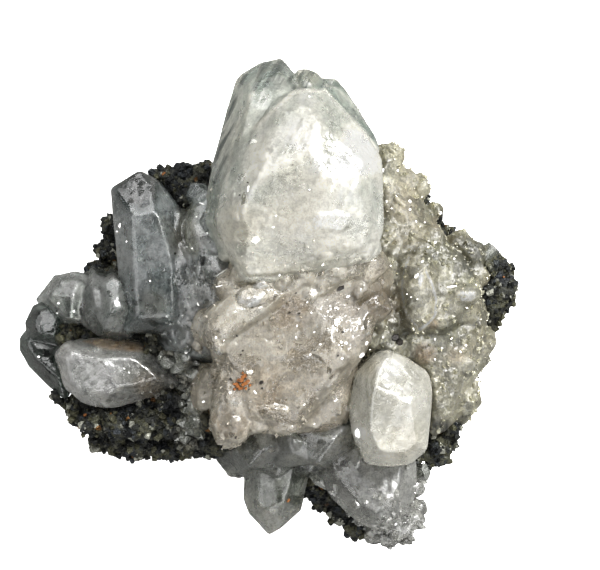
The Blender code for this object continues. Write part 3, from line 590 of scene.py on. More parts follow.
baseLook = {
    "clear": (0.13, 0.15, 0.135), "milky": (0.9, 0.895, 0.82), "warm": (0.8, 0.73, 0.58),
    "dark": (0.03, 0.035, 0.03), "frost": (1.0, 1.0, 0.98), "speck": (0.012, 0.01, 0.008), "veilScale": 190,
    "veilContrast": 0.2, "veilAmount": 0.3, "mottleScale": 1300, "mottle": 0.1, "grainScale": 4600,
    "grain": 0.1, "fleckScale": 4200, "cellScale": 420, "cellTone": 0.1, "cellLine": 0.25, "lineScale": 1600,
    "lineTurn": 0, "lineStretch": 0.12, "lineDepth": 0.4, "hatch": 0.5, "speckScale": 900,
    "speckShare": 0.0015, "roughness": (0.22, 0.45), "glintScale": 4200, "lean": 0.04, "strongLean": 1.0,
    "glintShare": 0.015, "etchStrength": 0.08, "dotScale": 1700, "dotShare": 0.3,
    "ior": 1.88, "gloss": 0.3, "transmission": 0.55, "coat": 0.1, "coatRoughness": 0.08, "polish": 0.1,
    "mottleContrast": 0.14, "grainContrast": 0.1, "cellBend": 0.4, "speckSize": 0.22, "speckStrength": 0.85,
    "dotSize": 0.2, "etchDepth": 0.25,
}
greyLook = {
    **baseLook, "mottle": 0.24, "grain": 0.24, "lean": 0.16, "glintScale": 1100, "veilAmount": 0.7,
    "dotShare": 0.6, "gloss": 0.12, "coat": 0.0,
}
baseWear = {
    "swell": finish["swell"], "uneven": 0.1, "unevenSize": 3.6, "stepSize": 5.5, "stepCount": 4,
    "stepHeight": 0.05, "etch": 0.03, "etchSize": 0.75, "heads": 0.14, "headSize": 1.5, "shift": 1,
}
# painted light from the relief: ridges and edges lightened (painted highlight), creases darkened (painted
# shade), bulges lightened and hollows darkened (painted shading)
baseRidgeShading = {"pale": 1.5, "grooveShade": 1.2, "broadShading": 0.3}

# what is painted on each crystal: milk, warm, dark, streak, frost and druse, all in photo pixels. The
# milk and frost values also hold painted highlights on edges and lit facets, the main crystal's streak
# and frost spots painted glints. Spots are u, v, radius and strength, patches are strength, softness and
# corners, lines are strength, width and corners
crystalSettings = {
    "mainCrystals": {
        "node": "main_crystal", "slot": "milky_crystal", "voxel": 0.22, "smoothing": 2,
        "look": {
            "glintShare": 0.02, "lineTurn": 28, "lineStretch": 0.1, "hatch": 0.9, "speckShare": 0.0002,
            "transmission": 0.8, "etchStrength": 0.15, "lean": 0.1, "dotShare": 0.15, "glintScale": 800,
            "veilAmount": 0.42, "veilContrast": 0.16, "mottle": 0.14, "cellScale": 330, "cellTone": 0.12,
            "clear": (0.26, 0.33, 0.3), "milky": (1.0, 0.985, 0.9), "warm": (0.97, 0.9, 0.74),
            "dark": (0.03, 0.045, 0.04), "roughness": (0.2, 0.45), "coat": 0.0, "gloss": 0.2,
        },
        "wear": {"unevenSize": 4.2, "uneven": 0.1, "relief": [
            (0.22, 3, [(346, 131), (358, 132), (377, 152), (378, 178), (342, 188), (326, 182), (334, 156)]),
            (0.25, 2, [(312, 222), (318, 215), (334, 213), (347, 216), (347, 226), (338, 232), (324, 231),
                (315, 229)]),
            (0.4, 2, [(258, 132), (272, 113), (296, 94), (326, 93), (350, 118), (380, 150), (382, 232),
                (372, 262), (330, 268), (250, 275), (232, 250), (236, 190)]),
            (-0.3, 2, [(322, 88), (345, 85), (374, 130), (374, 148), (350, 124), (334, 104)]),
        ]},
        "plates": [
            {"count": 200, "size": (0.8, 2.2), "proud": 0.5, "lean": 0.2, "where": {"spots": [
                (250, 262, 14, 1), (280, 268, 14, 1), (310, 268, 14, 1), (340, 264, 14, 1), (368, 258, 12, 1),
                (215, 215, 14, 0.7), (222, 245, 12, 0.7),
            ]}},
        ],
        "milk": {"base": 0.7, "cloud": 0.18, "size": 4.0, "spots": [
            (345, 235, 26, 0.2), (240, 190, 16, -0.05), (300, 190, 40, 0.3), (355, 200, 10, -0.12),
        ], "patches": [
            (-0.36, 4, [(232, 90), (262, 60), (286, 58), (299, 92), (272, 113), (258, 132), (238, 190),
                (212, 200)]),
            (-0.14, 3, [(238, 84), (262, 62), (288, 62), (298, 92), (272, 97), (248, 96)]),
            (-0.5, 2, [(320, 80), (345, 80), (376, 130), (378, 152), (350, 122), (332, 102)]),
            (-0.55, 2, [(296, 80), (310, 68), (322, 76), (324, 92), (302, 92)]),
            (-0.08, 4, [(258, 132), (296, 94), (326, 95), (346, 122), (330, 140), (296, 128)]),
            # painted highlight: the bright facet at the right of the front crystal
            (0.45, 2, [(346, 130), (358, 132), (377, 152), (378, 178), (342, 188), (326, 182), (334, 156)]),
            (-0.1, 2, [(342, 188), (376, 180), (377, 208), (352, 214), (334, 204)]),
            (-0.35, 4, [(200, 170), (215, 165), (219, 200), (219, 235), (226, 258), (222, 268), (200, 268)]),
        ], "lines": [
            # pale lines along the crystal edges: painted edge highlights
            (0.5, 1.8, [(256, 132), (275, 114), (295, 97), (325, 95), (345, 116), (365, 135), (375, 150),
                (377, 180)]),
            (0.4, 1.6, [(234, 92), (250, 72), (265, 63), (284, 62)]),
            (0.3, 1.5, [(262, 64), (258, 84), (246, 118)]), (0.3, 1.5, [(284, 64), (288, 78), (297, 92)]),
            (0.4, 1.5, [(297, 84), (300, 76), (313, 72), (320, 78)]),
            (0.3, 1.5, [(326, 88), (338, 92), (352, 106), (366, 126)]),
            (0.3, 1.5, [(244, 112), (234, 150), (228, 190)]),
        ]},
        "warm": {"base": 0.08, "cloud": 0.12, "size": 6.0, "spots": [
            (320, 200, 26, 0.15), (285, 245, 36, 0.35), (240, 228, 20, 0.45), (312, 82, 9, 0.3),
            (335, 245, 20, 0.2),
        ]},
        "dark": {"spots": [(231, 92, 4, 0.5), (338, 88, 8, 0.12)], "patches": [
            (0.95, 3, [(226, 92), (238, 100), (228, 160), (218, 190), (206, 175), (214, 125)]),
            (0.4, 5, [(236, 100), (250, 108), (238, 165), (226, 185), (224, 160)]),
            (0.45, 3, [(234, 90), (262, 60), (286, 58), (296, 84), (270, 90), (246, 96)]),
            (0.2, 2, [(322, 80), (345, 80), (376, 130), (378, 150), (352, 122), (334, 102)]),
            (0.8, 2, [(296, 78), (312, 66), (324, 76), (326, 91), (302, 92)]),
            (0.4, 3, [(238, 84), (262, 62), (288, 62), (298, 92), (272, 97), (248, 96)]),
        ], "lines": [
            (0.35, 1.5, [(253, 128), (272, 110), (293, 93), (322, 91)]),
            (0.5, 1.5, [(231, 96), (222, 140), (212, 180)]),
        ]},
        # streak spots on the main crystal: painted feathery glints
        "streak": {"spots": [(298, 140, 15, 0.8), (318, 166, 12, 0.7), (262, 104, 9, 0.8),
            (352, 165, 12, 0.3), (250, 196, 6, 0.5), (345, 196, 10, 0.4), (306, 104, 8, 0.5)]},
        # frost spots: painted glints; frost patches: painted highlight on the bright facet and a painted
        # glint patch
        "frost": {"base": 0.03, "cloud": 0.1, "size": 1.6, "spots": [
            (298, 140, 15, 0.2), (322, 165, 12, 0.15), (262, 104, 9, 0.3), (356, 187, 5, 0.35),
            (250, 196, 5, 0.3), (306, 104, 8, 0.2), (290, 240, 40, 0.1),
        ], "patches": [
            (0.75, 3, [(346, 132), (358, 133), (376, 153), (377, 176), (344, 184), (330, 178), (336, 158)]),
            (0.5, 2, [(312, 222), (318, 215), (334, 213), (347, 216), (347, 226), (338, 232), (324, 231),
                (315, 229)]),
        ]},
        "druse": {"cloud": 0.05, "size": 3.0, "spots": [
            (300, 268, 26, 0.5), (250, 262, 16, 0.5), (365, 256, 12, 0.4), (215, 205, 12, 0.4),
        ]},
    },
    "centralCrystal": {
        "node": "central_crystal", "slot": "milky_crystal", "soften": 50, "voxel": 0.26,
        "look": {
            "clear": (0.38, 0.32, 0.23), "milky": (0.97, 0.92, 0.79), "warm": (0.8, 0.65, 0.48),
            "speckShare": 0.003, "transmission": 0.84, "roughness": (0.18, 0.4), "coat": 0.0, "gloss": 0.18,
            "veilAmount": 0.45, "cellScale": 600, "cellTone": 0.16,
            "speckScale": 1300, "glintShare": 0.02, "lean": 0.24, "glintScale": 1500, "mottle": 0.12,
            "grain": 0.16, "etchStrength": 0.2,
        },
        "wear": {"shift": 2, "etch": 0.04, "uneven": 0.12, "heads": 0.08, "relief": [
            (0.8, 4, [(207, 333), (211, 315), (230, 297), (263, 277), (290, 290), (280, 303), (245, 328),
                (226, 340), (222, 372), (212, 372)]),
            (-0.35, 5, [(225, 336), (245, 326), (285, 300), (292, 308), (250, 338), (232, 350)]),
            (-0.5, 4, [(307, 417), (322, 392), (330, 375), (347, 363), (360, 400), (345, 440), (310, 440)]),
        ]},
        "blunt": [
            (250, 272, 25.8, 4.6, 3.6, 20, 3), (272, 278, 25.5, 4.6, 4.0, 50, -3),
            (298, 279, 25.6, 5.0, 4.2, 0, 3), (322, 276, 25.5, 4.8, 4.0, 70, -3),
            (344, 270, 25.2, 4.6, 3.8, 40, 3), (364, 270, 24.0, 4.2, 4.0, 80, -4),
            (236, 285, 24.6, 3.6, 3.2, 15, 4), (358, 288, 23.4, 4.6, 4.2, 25, 4),
            (372, 304, 21.8, 4.2, 4.0, 20, 4), (203, 320, 17.8, 2.2, 4.4, 12, 10),
            (200, 336, 16.8, 2.2, 3.6, -10, 8), (212, 388, 19.0, 2.6, 4.8, -14, 8),
            (286, 423, 22.0, 3.4, 1.8, 0, 8), (262, 422, 21.8, 3.0, 1.6, 20, 6),
            (256, 266, 26.6, 4.2, 3.2, 10, 3), (282, 270, 26.4, 4.6, 3.4, 70, 3),
            (306, 270, 26.4, 4.4, 3.2, 30, 3), (330, 266, 26.2, 4.4, 3.2, 80, 3),
            (352, 262, 25.8, 3.8, 3.2, 20, 3),
        ],
        "plates": [
            {"count": 220, "size": (1.2, 3.6), "proud": 0.16, "lean": 0.1, "where": {"base": 0.6, "spots": [
                (300, 285, 30, 0.5), (350, 312, 24, -0.6), (345, 350, 16, 0.3),
            ]}},
            {"count": 160, "size": (0.7, 1.8), "proud": 0.4, "lean": 0.2, "where": {"spots": [
                (260, 272, 12, 1), (285, 278, 14, 1), (312, 278, 14, 1), (340, 276, 14, 1), (362, 282, 12, 1),
            ]}},
        ],
        "milk": {"base": 0.55, "cloud": 0.18, "size": 3.5, "spots": [
            (250, 300, 24, 0.2), (222, 335, 12, 0.3), (310, 275, 30, 0.4), (350, 316, 24, -0.25),
            (260, 275, 20, 0.35), (285, 390, 30, -0.25), (325, 412, 18, -0.15), (338, 388, 16, 0.3),
            (229, 420, 14, -0.6), (262, 330, 14, -0.12), (368, 300, 18, -0.4), (384, 304, 14, -0.5),
            (203, 325, 10, 0.3),
        ], "patches": [
            (0.15, 3, [(211, 315), (230, 297), (263, 277), (285, 300), (245, 330), (226, 338)]),
            (0.3, 5, [(235, 256), (378, 254), (374, 288), (240, 292)]),
        ]},
        "warm": {"base": 0.12, "cloud": 0.15, "size": 4.0, "spots": [
            (292, 310, 18, 0.4), (345, 380, 18, 0.2), (262, 385, 24, 0.2), (245, 422, 10, 0.25),
            (243, 380, 12, 0.3),
        ]},
        "dark": {"spots": [(345, 428, 12, 0.3), (222, 403, 6, 0.15), (292, 306, 6, 0.12),
            (386, 304, 12, 0.3)]},
        "streak": {"spots": [(330, 395, 16, 0.25)]},
        "frost": {"base": 0.04, "cloud": 0.1, "size": 1.3, "spots": [
            (203, 325, 9, 0.4), (237, 300, 14, 0.15), (228, 335, 8, 0.2), (300, 275, 30, 0.1),
        ]},
        "druse": {"base": 0.1, "cloud": 0.1, "size": 2.2, "spots": [
            (300, 275, 40, 0.4), (352, 312, 26, -0.8), (200, 325, 12, 0.4), (208, 385, 12, 0.3),
            (290, 428, 26, 0.25),
        ]},
    },
    "lowerRightCrystal": {
        "node": "lower_right_crystal", "slot": "milky_crystal", "voxel": 0.2, "smoothing": 0,
        "look": {
            "clear": (0.55, 0.55, 0.47), "milky": (1.0, 0.985, 0.9), "warm": (0.97, 0.88, 0.68),
            "lineTurn": -40, "transmission": 0.77, "roughness": (0.12, 0.35), "speckShare": 0.0005,
            "lineDepth": 0.1, "etchStrength": 0.1, "veilAmount": 0.5, "glintScale": 900, "lean": 0.08,
            "glintShare": 0.01,
        },
        "wear": {"shift": 3},
        "milk": {"base": 0.66, "cloud": 0.24, "size": 3.5, "spots": [
            (390, 368, 14, 0.2), (385, 400, 18, 0.2), (410, 440, 16, -0.05), (372, 430, 10, 0.1),
        ]},
        "warm": {"base": 0.06, "cloud": 0.12, "size": 4.0,
            "spots": [(365, 362, 12, 0.35), (400, 440, 20, 0.25)]},
        "dark": {"spots": [(420, 452, 6, 0.15)]},
        "streak": {"spots": [(388, 368, 12, 0.7), (410, 400, 14, 0.15)]},
        "frost": {"base": 0.0, "cloud": 0.1, "size": 1.5, "spots": [(390, 366, 10, 0.5), (358, 430, 6, 0.7)]},
        "druse": {"spots": [(370, 458, 12, 0.3)]},
        "ridgeShading": {"pale": 0.2, "broadShading": 0.1},
    },
    "rightCrust": {
        "node": "right_crust", "slot": "crust_crystal", "soften": 60, "voxel": 0.2, "smoothing": 1,
        "look": {
            "clear": (0.22, 0.225, 0.13), "milky": (0.86, 0.84, 0.68), "warm": (0.72, 0.54, 0.34),
            "glintShare": 0.008, "transmission": 0.84, "roughness": (0.4, 0.62), "coat": 0.0, "gloss": 0.06,
            "speckShare": 0.001, "speckScale": 1100, "lean": 0.5, "glintScale": 1900, "mottle": 0.14,
            "grain": 0.2, "etchStrength": 0.25, "dotScale": 2000, "veilAmount": 0.5,
            "cellLine": 0.3, "cellTone": 0.35, "cellScale": 700,
        },
        "wear": {"shift": 4, "etch": 0.03, "uneven": 0.05, "unevenSize": 2.6, "heads": 0.04, "headSize": 1.4,
                 "stepHeight": 0.02},
        "blunt": [
            (394, 156, 12.0, 2.8, 2.6, 20, 8), (422, 190, 11.0, 1.6, 2.0, -40, 8),
            (468, 400, 10.5, 2.2, 3.8, 0, 6), (418, 298, 15.7, 3.6, 8.0, 8, 3),
            (462, 296, 11.8, 2.4, 1.4, 8, 2), (480, 335, 9.0, 2.6, 2.6, 30, 6),
            (477, 352, 9.4, 2.8, 2.4, 60, 6), (386, 268, 15.8, 3.6, 3.6, 20, 4),
            (382, 290, 15.6, 3.6, 3.8, 60, 4), (455, 355, 12.4, 3.4, 2.8, 30, 4),
            (472, 368, 9.6, 2.6, 2.8, 10, 6), (384, 314, 16.0, 4.2, 4.4, 10, 3),
            (398, 320, 15.4, 4.2, 4.2, 40, 3), (382, 336, 15.4, 4.0, 4.0, 70, 3),
            (410, 340, 14.4, 4.6, 4.6, 20, 3), (396, 346, 14.8, 4.0, 3.6, 50, 3),
            (372, 318, 17.2, 3.2, 3.6, 15, 4), (368, 336, 16.4, 3.0, 3.4, 65, 4),
            (396, 252, 15.6, 4.0, 4.0, 25, 3), (396, 290, 15.2, 3.0, 4.6, 5, 3),
        ],
        "plates": [
            {"count": 300, "size": (1.0, 2.8), "proud": 0.16, "lean": 0.2, "where": {"base": 1.0, "spots": [
                (417, 285, 16, -1), (420, 305, 14, -1),
            ]}},
        ],
        "milk": {"base": 0.5, "cloud": 0.24, "size": 3.0, "spots": [
            (402, 195, 24, 0.2), (428, 252, 24, -0.4), (470, 250, 20, -0.3), (416, 298, 14, 0.35),
            (385, 320, 22, -0.2), (430, 190, 10, 0.1), (392, 305, 20, -0.15), (430, 245, 14, -0.15),
            (427, 235, 6, 0.3), (455, 355, 10, 0.4), (470, 400, 14, 0.1), (390, 235, 12, 0.15),
            (445, 225, 10, 0.1), (476, 350, 14, 0.35), (450, 375, 24, 0.15),
        ], "patches": [
            (1.2, 1, [(455, 295), (460, 291), (470, 291), (476, 296), (470, 301), (460, 301)]),
        ], "lines": [
            # pale outlines of the long crystal: painted edge highlights
            (0.9, 1.6, [(408, 256), (402, 275), (401, 290), (403, 308), (410, 320), (418, 328)]),
            (0.9, 1.6, [(408, 256), (418, 258), (425, 272), (431, 285), (435, 300), (434, 315), (428, 322),
                (418, 330)]),
            (0.8, 1.4, [(421, 283), (424, 295), (428, 308), (424, 315), (414, 322)]),
            (0.7, 1.4, [(418, 330), (412, 343)]),
        ]},
        "warm": {"base": 0.12, "cloud": 0.15, "size": 4.0, "spots": [
            (424, 353, 10, 0.7), (455, 355, 9, 0.25), (400, 200, 20, 0.15), (440, 222, 8, 0.3),
            (432, 324, 5, 0.5), (385, 300, 16, 0.3),
        ]},
        "dark": {"cloud": 0.06, "size": 3.0, "spots": [
            (394, 337, 3, 1.0), (399, 342, 3, 1.0), (472, 255, 18, 0.5), (445, 212, 5, 0.5),
            (432, 252, 8, 0.25), (440, 430, 12, 0.9), (425, 347, 2, 0.6), (451, 338, 2, 0.7),
            (441, 344, 2, 0.6),
        ]},
        "streak": {},
        "frost": {"base": -0.02, "cloud": 0.08, "size": 1.2, "patches": [
            # the first patch: a painted highlight on the long crystal
            (0.9, 1, [(417, 275), (421, 273), (422, 280), (419, 288), (416, 283)]),
            (0.7, 1, [(455, 295), (460, 291), (470, 291), (476, 296), (470, 301), (460, 301)]),
        ], "lines": [
            # painted edge highlights along the long crystal
            (0.9, 1.3, [(425, 272), (431, 285), (435, 300), (434, 315), (428, 322), (418, 330)]),
            (0.6, 1.3, [(408, 256), (402, 275), (401, 290), (403, 308), (410, 320), (418, 328)]),
        ]},
        "ridgeShading": {"pale": 1.0, "grooveShade": 0.15},
        "druse": {"base": 0.5, "cloud": 0.3, "size": 3.0,
            "spots": [(415, 290, 20, -0.6), (395, 310, 20, -0.3)]},
    },
    "leftCrystals": {
        "node": "left_crystals", "slot": "grey_crystal", "voxel": 0.2, "smoothing": 0,
        "look": {
            "clear": (0.36, 0.44, 0.43), "milky": (0.9, 0.94, 0.94), "warm": (0.8, 0.76, 0.62),
            "transmission": 0.9, "roughness": (0.16, 0.38), "veilAmount": 0.7, "lineTurn": 4,
            "lineStretch": 0.06, "gloss": 0.12, "coat": 0.0, "dotShare": 0.6, "hatch": 0.1, "mottle": 0.24,
            "grain": 0.24, "lean": 0.16, "glintScale": 1100, "cellTone": 0.2,
        },
        "wear": {"shift": 5, "uneven": 0.05, "stepHeight": 0.02, "etch": 0.015},
        "blunt": [
            (196, 258, 18.0, 4.4, 5.4, 10, 4), (208, 282, 19.6, 4.6, 5.0, 30, -4),
            (190, 306, 17.2, 4.6, 5.0, -30, 4), (206, 232, 19.4, 3.6, 4.6, 10, 4),
            (186, 336, 14.8, 4.8, 4.2, 20, 6), (204, 336, 16.4, 4.2, 4.4, 45, 6),
            (208, 208, 18.0, 3.0, 3.6, 5, 4), (204, 308, 18.4, 3.8, 3.8, 60, 4),
            (192, 232, 17.2, 3.2, 3.0, 30, 4), (200, 196, 15.6, 2.8, 3.0, 30, 4),
            (172, 322, 15.6, 3.4, 3.6, 60, 4), (186, 262, 18.2, 8.0, 11.0, 8, 2),
            (202, 300, 18.8, 7.0, 9.0, 25, 2), (178, 306, 16.6, 8.0, 8.0, 40, 2),
            (208, 246, 20.4, 5.0, 9.0, 4, 2), (176, 236, 17.0, 5.6, 7.0, 12, 2),
            (196, 330, 16.8, 6.4, 5.6, 15, 2), (212, 290, 20.4, 5.4, 7.6, 12, 2),
            (218, 250, 21.0, 3.4, 4.4, 20, 4), (220, 272, 21.4, 3.2, 4.0, 50, -4),
            (219, 296, 20.6, 3.4, 4.0, 10, 4), (217, 226, 20.6, 2.8, 3.6, 0, 4),
            (216, 318, 18.4, 3.2, 3.8, 30, 4), (184, 282, 17.2, 3.6, 3.8, 70, 4),
            (182, 256, 17.0, 3.2, 3.4, 15, 4),
        ],
        "milk": {"base": 0.44, "cloud": 0.4, "size": 3.0, "spots": [
            (140, 245, 22, 0.2), (122, 225, 8, 0.2), (150, 325, 24, -0.4), (138, 184, 20, -0.9),
            (208, 285, 26, 0.9), (204, 330, 16, 0.9), (215, 235, 20, 0.8), (150, 300, 16, -0.15),
            (192, 250, 14, 0.3),
        ], "lines": [
            # the first line: a painted highlight along the left edge of the tall crystal
            (0.7, 1.3, [(112, 198), (114, 225), (116, 250), (119, 275)]),
            (0.3, 1.5, [(151, 208), (160, 218)]),
            (0.3, 1.5, [(176, 212), (182, 202), (192, 210), (196, 220)]),
            (0.3, 1.5, [(180, 262), (200, 258), (214, 262)]),
        ]},
        "warm": {"spots": [(188, 240, 16, 0.7), (190, 215, 12, 0.5), (165, 225, 8, 0.2), (155, 305, 14, 0.4),
                           (210, 290, 20, 0.2)]},
        "dark": {"base": 0.02, "cloud": 0.08, "size": 3.0, "spots": [
            (150, 338, 18, 0.7), (118, 300, 8, 0.2), (138, 186, 22, 1.2), (150, 305, 16, 0.25),
        ]},
        "streak": {"base": 0.1, "spots": [(124, 236, 7, 0.6), (130, 255, 12, 0.2), (150, 190, 16, 0.2)]},
        "frost": {"base": -0.04, "cloud": 0.06, "size": 1.5,
            "spots": [(121, 228, 5, 0.45), (208, 275, 22, 0.35), (202, 320, 16, 0.4)],
                  # painted highlight along the same left edge
                  "lines": [(0.5, 1.4, [(112, 198), (114, 225), (116, 250), (119, 275)])]},
        "ridgeShading": {"pale": 0.1, "grooveShade": 0.4},
        "druse": {"spots": [(195, 275, 28, 0.25), (190, 325, 20, 0.4)]},
    },
    "smallLeftCrystals": {
        "node": "small_left_crystals", "slot": "grey_crystal", "voxel": 0.2, "smoothing": 0,
        "look": {**greyLook,
            "clear": (0.42, 0.48, 0.44), "milky": (0.95, 0.97, 0.93), "transmission": 0.92,
            "roughness": (0.16, 0.36),
        },
        "wear": {"shift": 6, "uneven": 0.05, "stepHeight": 0.02, "etch": 0.015},
        "milk": {"base": 0.52, "cloud": 0.4, "size": 2.5, "spots": [(70, 292, 12, 0.2), (112, 306, 12, -0.3)],
            "lines": [
            # pale outlines of the small crystals: painted edge highlights
            (0.6, 1.6, [(50, 290), (55, 279), (62, 276), (80, 274), (88, 276), (94, 284), (96, 300)]),
            (0.6, 1.6, [(94, 279), (115, 277), (119, 285)]), (0.5, 1.5, [(50, 290), (62, 300)]),
            (0.7, 1.8, [(137, 296), (141, 304), (139, 312), (136, 330)]), (0.5, 2.5, [(84, 300), (86, 322)]),
        ]},
        "warm": {"base": 0.03, "cloud": 0.08, "size": 3.0},
        "dark": {"base": 0.03, "cloud": 0.15, "size": 2.0, "spots": [(100, 290, 6, 0.5), (85, 312, 6, 0.4)]},
        "ridgeShading": {"pale": 0.1, "grooveShade": 0.4},
        "blunt": [(119, 304, 17.4, 5.2, 6.2, 12, 2), (102, 300, 15.6, 4.4, 5.6, -8, 2),
            (72, 298, 14.6, 4.2, 4.4, 30, 3)],
        "streak": {"base": 0.1},
        "frost": {"base": -0.03, "cloud": 0.07, "size": 1.5,
            "spots": [(120, 318, 10, 0.15), (84, 305, 4, 0.3)], "lines": [
            # painted edge highlights along the same outlines
            (0.5, 1.4, [(50, 290), (55, 279), (62, 276), (80, 274), (88, 276), (94, 284)]),
            (0.5, 1.4, [(94, 279), (115, 277), (119, 285)]), (0.5, 1.4, [(137, 296), (141, 304), (139, 312)]),
        ]},
        "druse": {"spots": [(115, 328, 14, 0.4)]},
    },
    "lowerLeftCrystal": {
        "node": "lower_left_crystal", "slot": "milky_crystal", "voxel": 0.2, "smoothing": 0,
        "look": {**greyLook,
            "clear": (0.45, 0.47, 0.43), "milky": (0.96, 0.96, 0.94), "warm": (0.9, 0.66, 0.42),
            "transmission": 0.85, "lineTurn": 55, "roughness": (0.16, 0.36), "speckShare": 0.0005,
        },
        "wear": {"shift": 7, "etch": 0.05},
        "milk": {"base": 0.44, "cloud": 0.35, "size": 2.5, "spots": [
            (78, 366, 10, 0.1), (108, 382, 16, 0.4), (152, 382, 14, -0.3), (125, 364, 12, -0.1),
            (90, 400, 10, 0.1),
        ], "lines": [(0.7, 2, [(78, 352), (83, 362), (92, 376), (104, 390)])]},
        "warm": {"base": 0.03, "cloud": 0.08, "size": 3.0, "spots": [(150, 385, 14, 0.3)], "patches": [
            (1.0, 2, [(84, 341), (110, 337), (136, 341), (150, 352), (128, 350), (104, 348)]),
        ]},
        "dark": {"cloud": 0.1, "size": 2.0, "spots": [(165, 390, 12, 0.4), (80, 402, 8, 0.4)]},
        "streak": {"base": 0.25, "spots": [(100, 374, 14, 0.7), (112, 388, 8, 0.4)]},
        "frost": {"base": -0.02, "cloud": 0.08, "size": 1.2, "spots": [(100, 378, 12, 0.15)],
                  "lines": [(0.5, 1.6, [(78, 352), (83, 362), (92, 376), (104, 390)])]},
        "druse": {"spots": [(155, 388, 14, 0.4)]},
        "ridgeShading": {"pale": 0.2, "grooveShade": 0.4},
    },
    "farLeftCrystals": {
        "node": "far_left_crystals", "slot": "grey_crystal", "voxel": 0.2, "smoothing": 0,
        "look": {
            "clear": (0.03, 0.06, 0.045), "milky": (0.5, 0.62, 0.54), "transmission": 0.95,
            "roughness": (0.14, 0.32), "mottle": 0.24, "grain": 0.24, "lean": 0.16, "glintScale": 1100,
            "veilAmount": 0.5, "gloss": 0.12, "coat": 0.0,
        },
        "wear": {"shift": 8, "uneven": 0.05, "stepHeight": 0.02, "etch": 0.015},
        "milk": {"base": 0.12, "cloud": 0.3, "size": 2.0, "lines": [
            (0.5, 4, [(20, 335), (24, 355), (40, 378), (62, 398)]),
            (0.5, 1.6, [(28, 310), (45, 306), (52, 312)]),
        ]},
        "warm": {},
        "dark": {"base": 0.5, "cloud": 0.5, "size": 1.6, "spots": [(50, 350, 10, 0.6)]},
        "streak": {"base": 0.08},
        "frost": {"base": -0.06, "cloud": 0.04, "size": 1.2},
        "ridgeShading": {"pale": 0.1, "grooveShade": 0.4},
        "druse": {},
    },
    "bottomLeftCrystal": {
        "node": "bottom_left_crystal", "slot": "grey_crystal", "voxel": 0.2, "smoothing": 0,
        "look": {**greyLook,
            "clear": (0.28, 0.31, 0.26), "milky": (0.92, 0.93, 0.88), "transmission": 0.92,
            "roughness": (0.16, 0.36),
        },
        "wear": {"shift": 9, "uneven": 0.05, "stepHeight": 0.02, "etch": 0.015},
        "ridgeShading": {"pale": 0.1, "grooveShade": 0.4},
        "milk": {"base": 0.34, "cloud": 0.4, "size": 2.5, "spots": [
            (258, 475, 8, 0.15), (268, 522, 12, 0.7), (330, 440, 18, 1.0), (275, 440, 18, 0.4),
        ]},
        "warm": {"base": 0.02, "cloud": 0.05, "size": 3.0},
        "dark": {"cloud": 0.08, "size": 3.0, "spots": [(300, 472, 8, 0.4)]},
        "streak": {"base": 0.12, "spots": [(262, 500, 10, 0.3)]},
        "frost": {"base": -0.03, "cloud": 0.07, "size": 1.5, "spots": [(300, 440, 30, 0.08)]},
        "druse": {"spots": [(285, 438, 20, 0.4)]},
        "blunt": [
            (268, 444, 16.2, 6.4, 4.8, 12, 5), (298, 445, 16.8, 6.4, 5.2, -14, 5),
            (328, 440, 18.2, 6.0, 4.8, 10, 4), (282, 458, 13.4, 4.2, 3.6, 50, 6),
            (312, 458, 13.4, 4.0, 3.6, 20, 6), (250, 446, 13.4, 3.6, 3.2, 70, 6),
        ],
    },
    "bottomRightCrystal": {
        "node": "bottom_right_crystal", "slot": "grey_crystal", "voxel": 0.2, "smoothing": 0,
        "look": {**greyLook,
            "clear": (0.45, 0.45, 0.41), "milky": (0.92, 0.92, 0.88), "lineTurn": -52, "lineStretch": 0.12,
            "hatch": 0.8, "lineScale": 1100, "speckShare": 0.02, "transmission": 0.86, "lineDepth": 0.9,
            "roughness": (0.18, 0.4),
        },
        "wear": {"shift": 10, "etch": 0.06},
        "milk": {"base": 0.42, "cloud": 0.25, "size": 2.5,
            "spots": [(400, 530, 22, 0.35), (345, 448, 22, 0.6)]},
        "warm": {"base": 0.03, "cloud": 0.08, "size": 3.0},
        "dark": {"base": 0.12, "cloud": 0.2, "size": 2.0, "spots": [(325, 500, 10, 0.7)]},
        "streak": {"base": 0.12},
        "frost": {"base": 0.02, "cloud": 0.12, "size": 1.2, "spots": [(405, 528, 14, 0.3)]},
        "druse": {"base": 0.1, "cloud": 0.1, "size": 3.0,
            "spots": [(398, 530, 22, 0.8), (345, 450, 20, 0.3)]},
    },
}


def makeCrystals():
    made = {}
    for name, plan in crystalSettings.items():
        piece = copyOfNode(plan["node"], name)
        if "soften" in plan:
            remesh(piece, finish["voxel"], plan["soften"])
        for layer, plates in enumerate(plan.get("plates", ())):
            growPlates(piece, plates, len(name) + 50 * layer)
        growBluntCrystals(piece, plan.get("blunt", ()), len(name))
        remesh(piece, plan.get("voxel", finish["voxel"]), plan.get("smoothing", 1))
        paintPiece(piece, "druse", plan["druse"])
        wearSurface(piece, {**baseWear, **plan["wear"]})
        ridgeShading = {**baseRidgeShading, **plan.get("ridgeShading", {})}
        edge, form = ridges(piece, 2), ridges(piece, 24)
        # painted highlights on ridges and edges, painted shading of bulges and hollows
        paintPiece(piece, "milk", plan["milk"],
            ridgeShading["pale"] * 3 * np.clip(edge, 0, 1) + ridgeShading["broadShading"] * form)
        paintPiece(piece, "warm", plan["warm"])
        paintPiece(piece, "streak", plan["streak"])
        # painted shade in the creases
        paintPiece(piece, "dark", plan["dark"], ridgeShading["grooveShade"] * 2 * np.clip(-edge, 0, 1))
        # painted highlights on the ridges and edges
        paintPiece(piece, "frost", plan["frost"], ridgeShading["pale"] * 3 * np.clip(edge - 0.015, 0, 1))
        piece.data.materials.append(crystalMaterial(name + "Finish", {**baseLook, **plan["look"]}))
        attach(piece, "root")
        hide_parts(plan["node"])
        made[name] = piece
        print(name + ":", len(piece.data.polygons), "faces")
    print("crystals:", sum(len(piece.data.polygons) for piece in made.values()), "faces")
    return made


crystals = makeCrystals()


# the ore slab

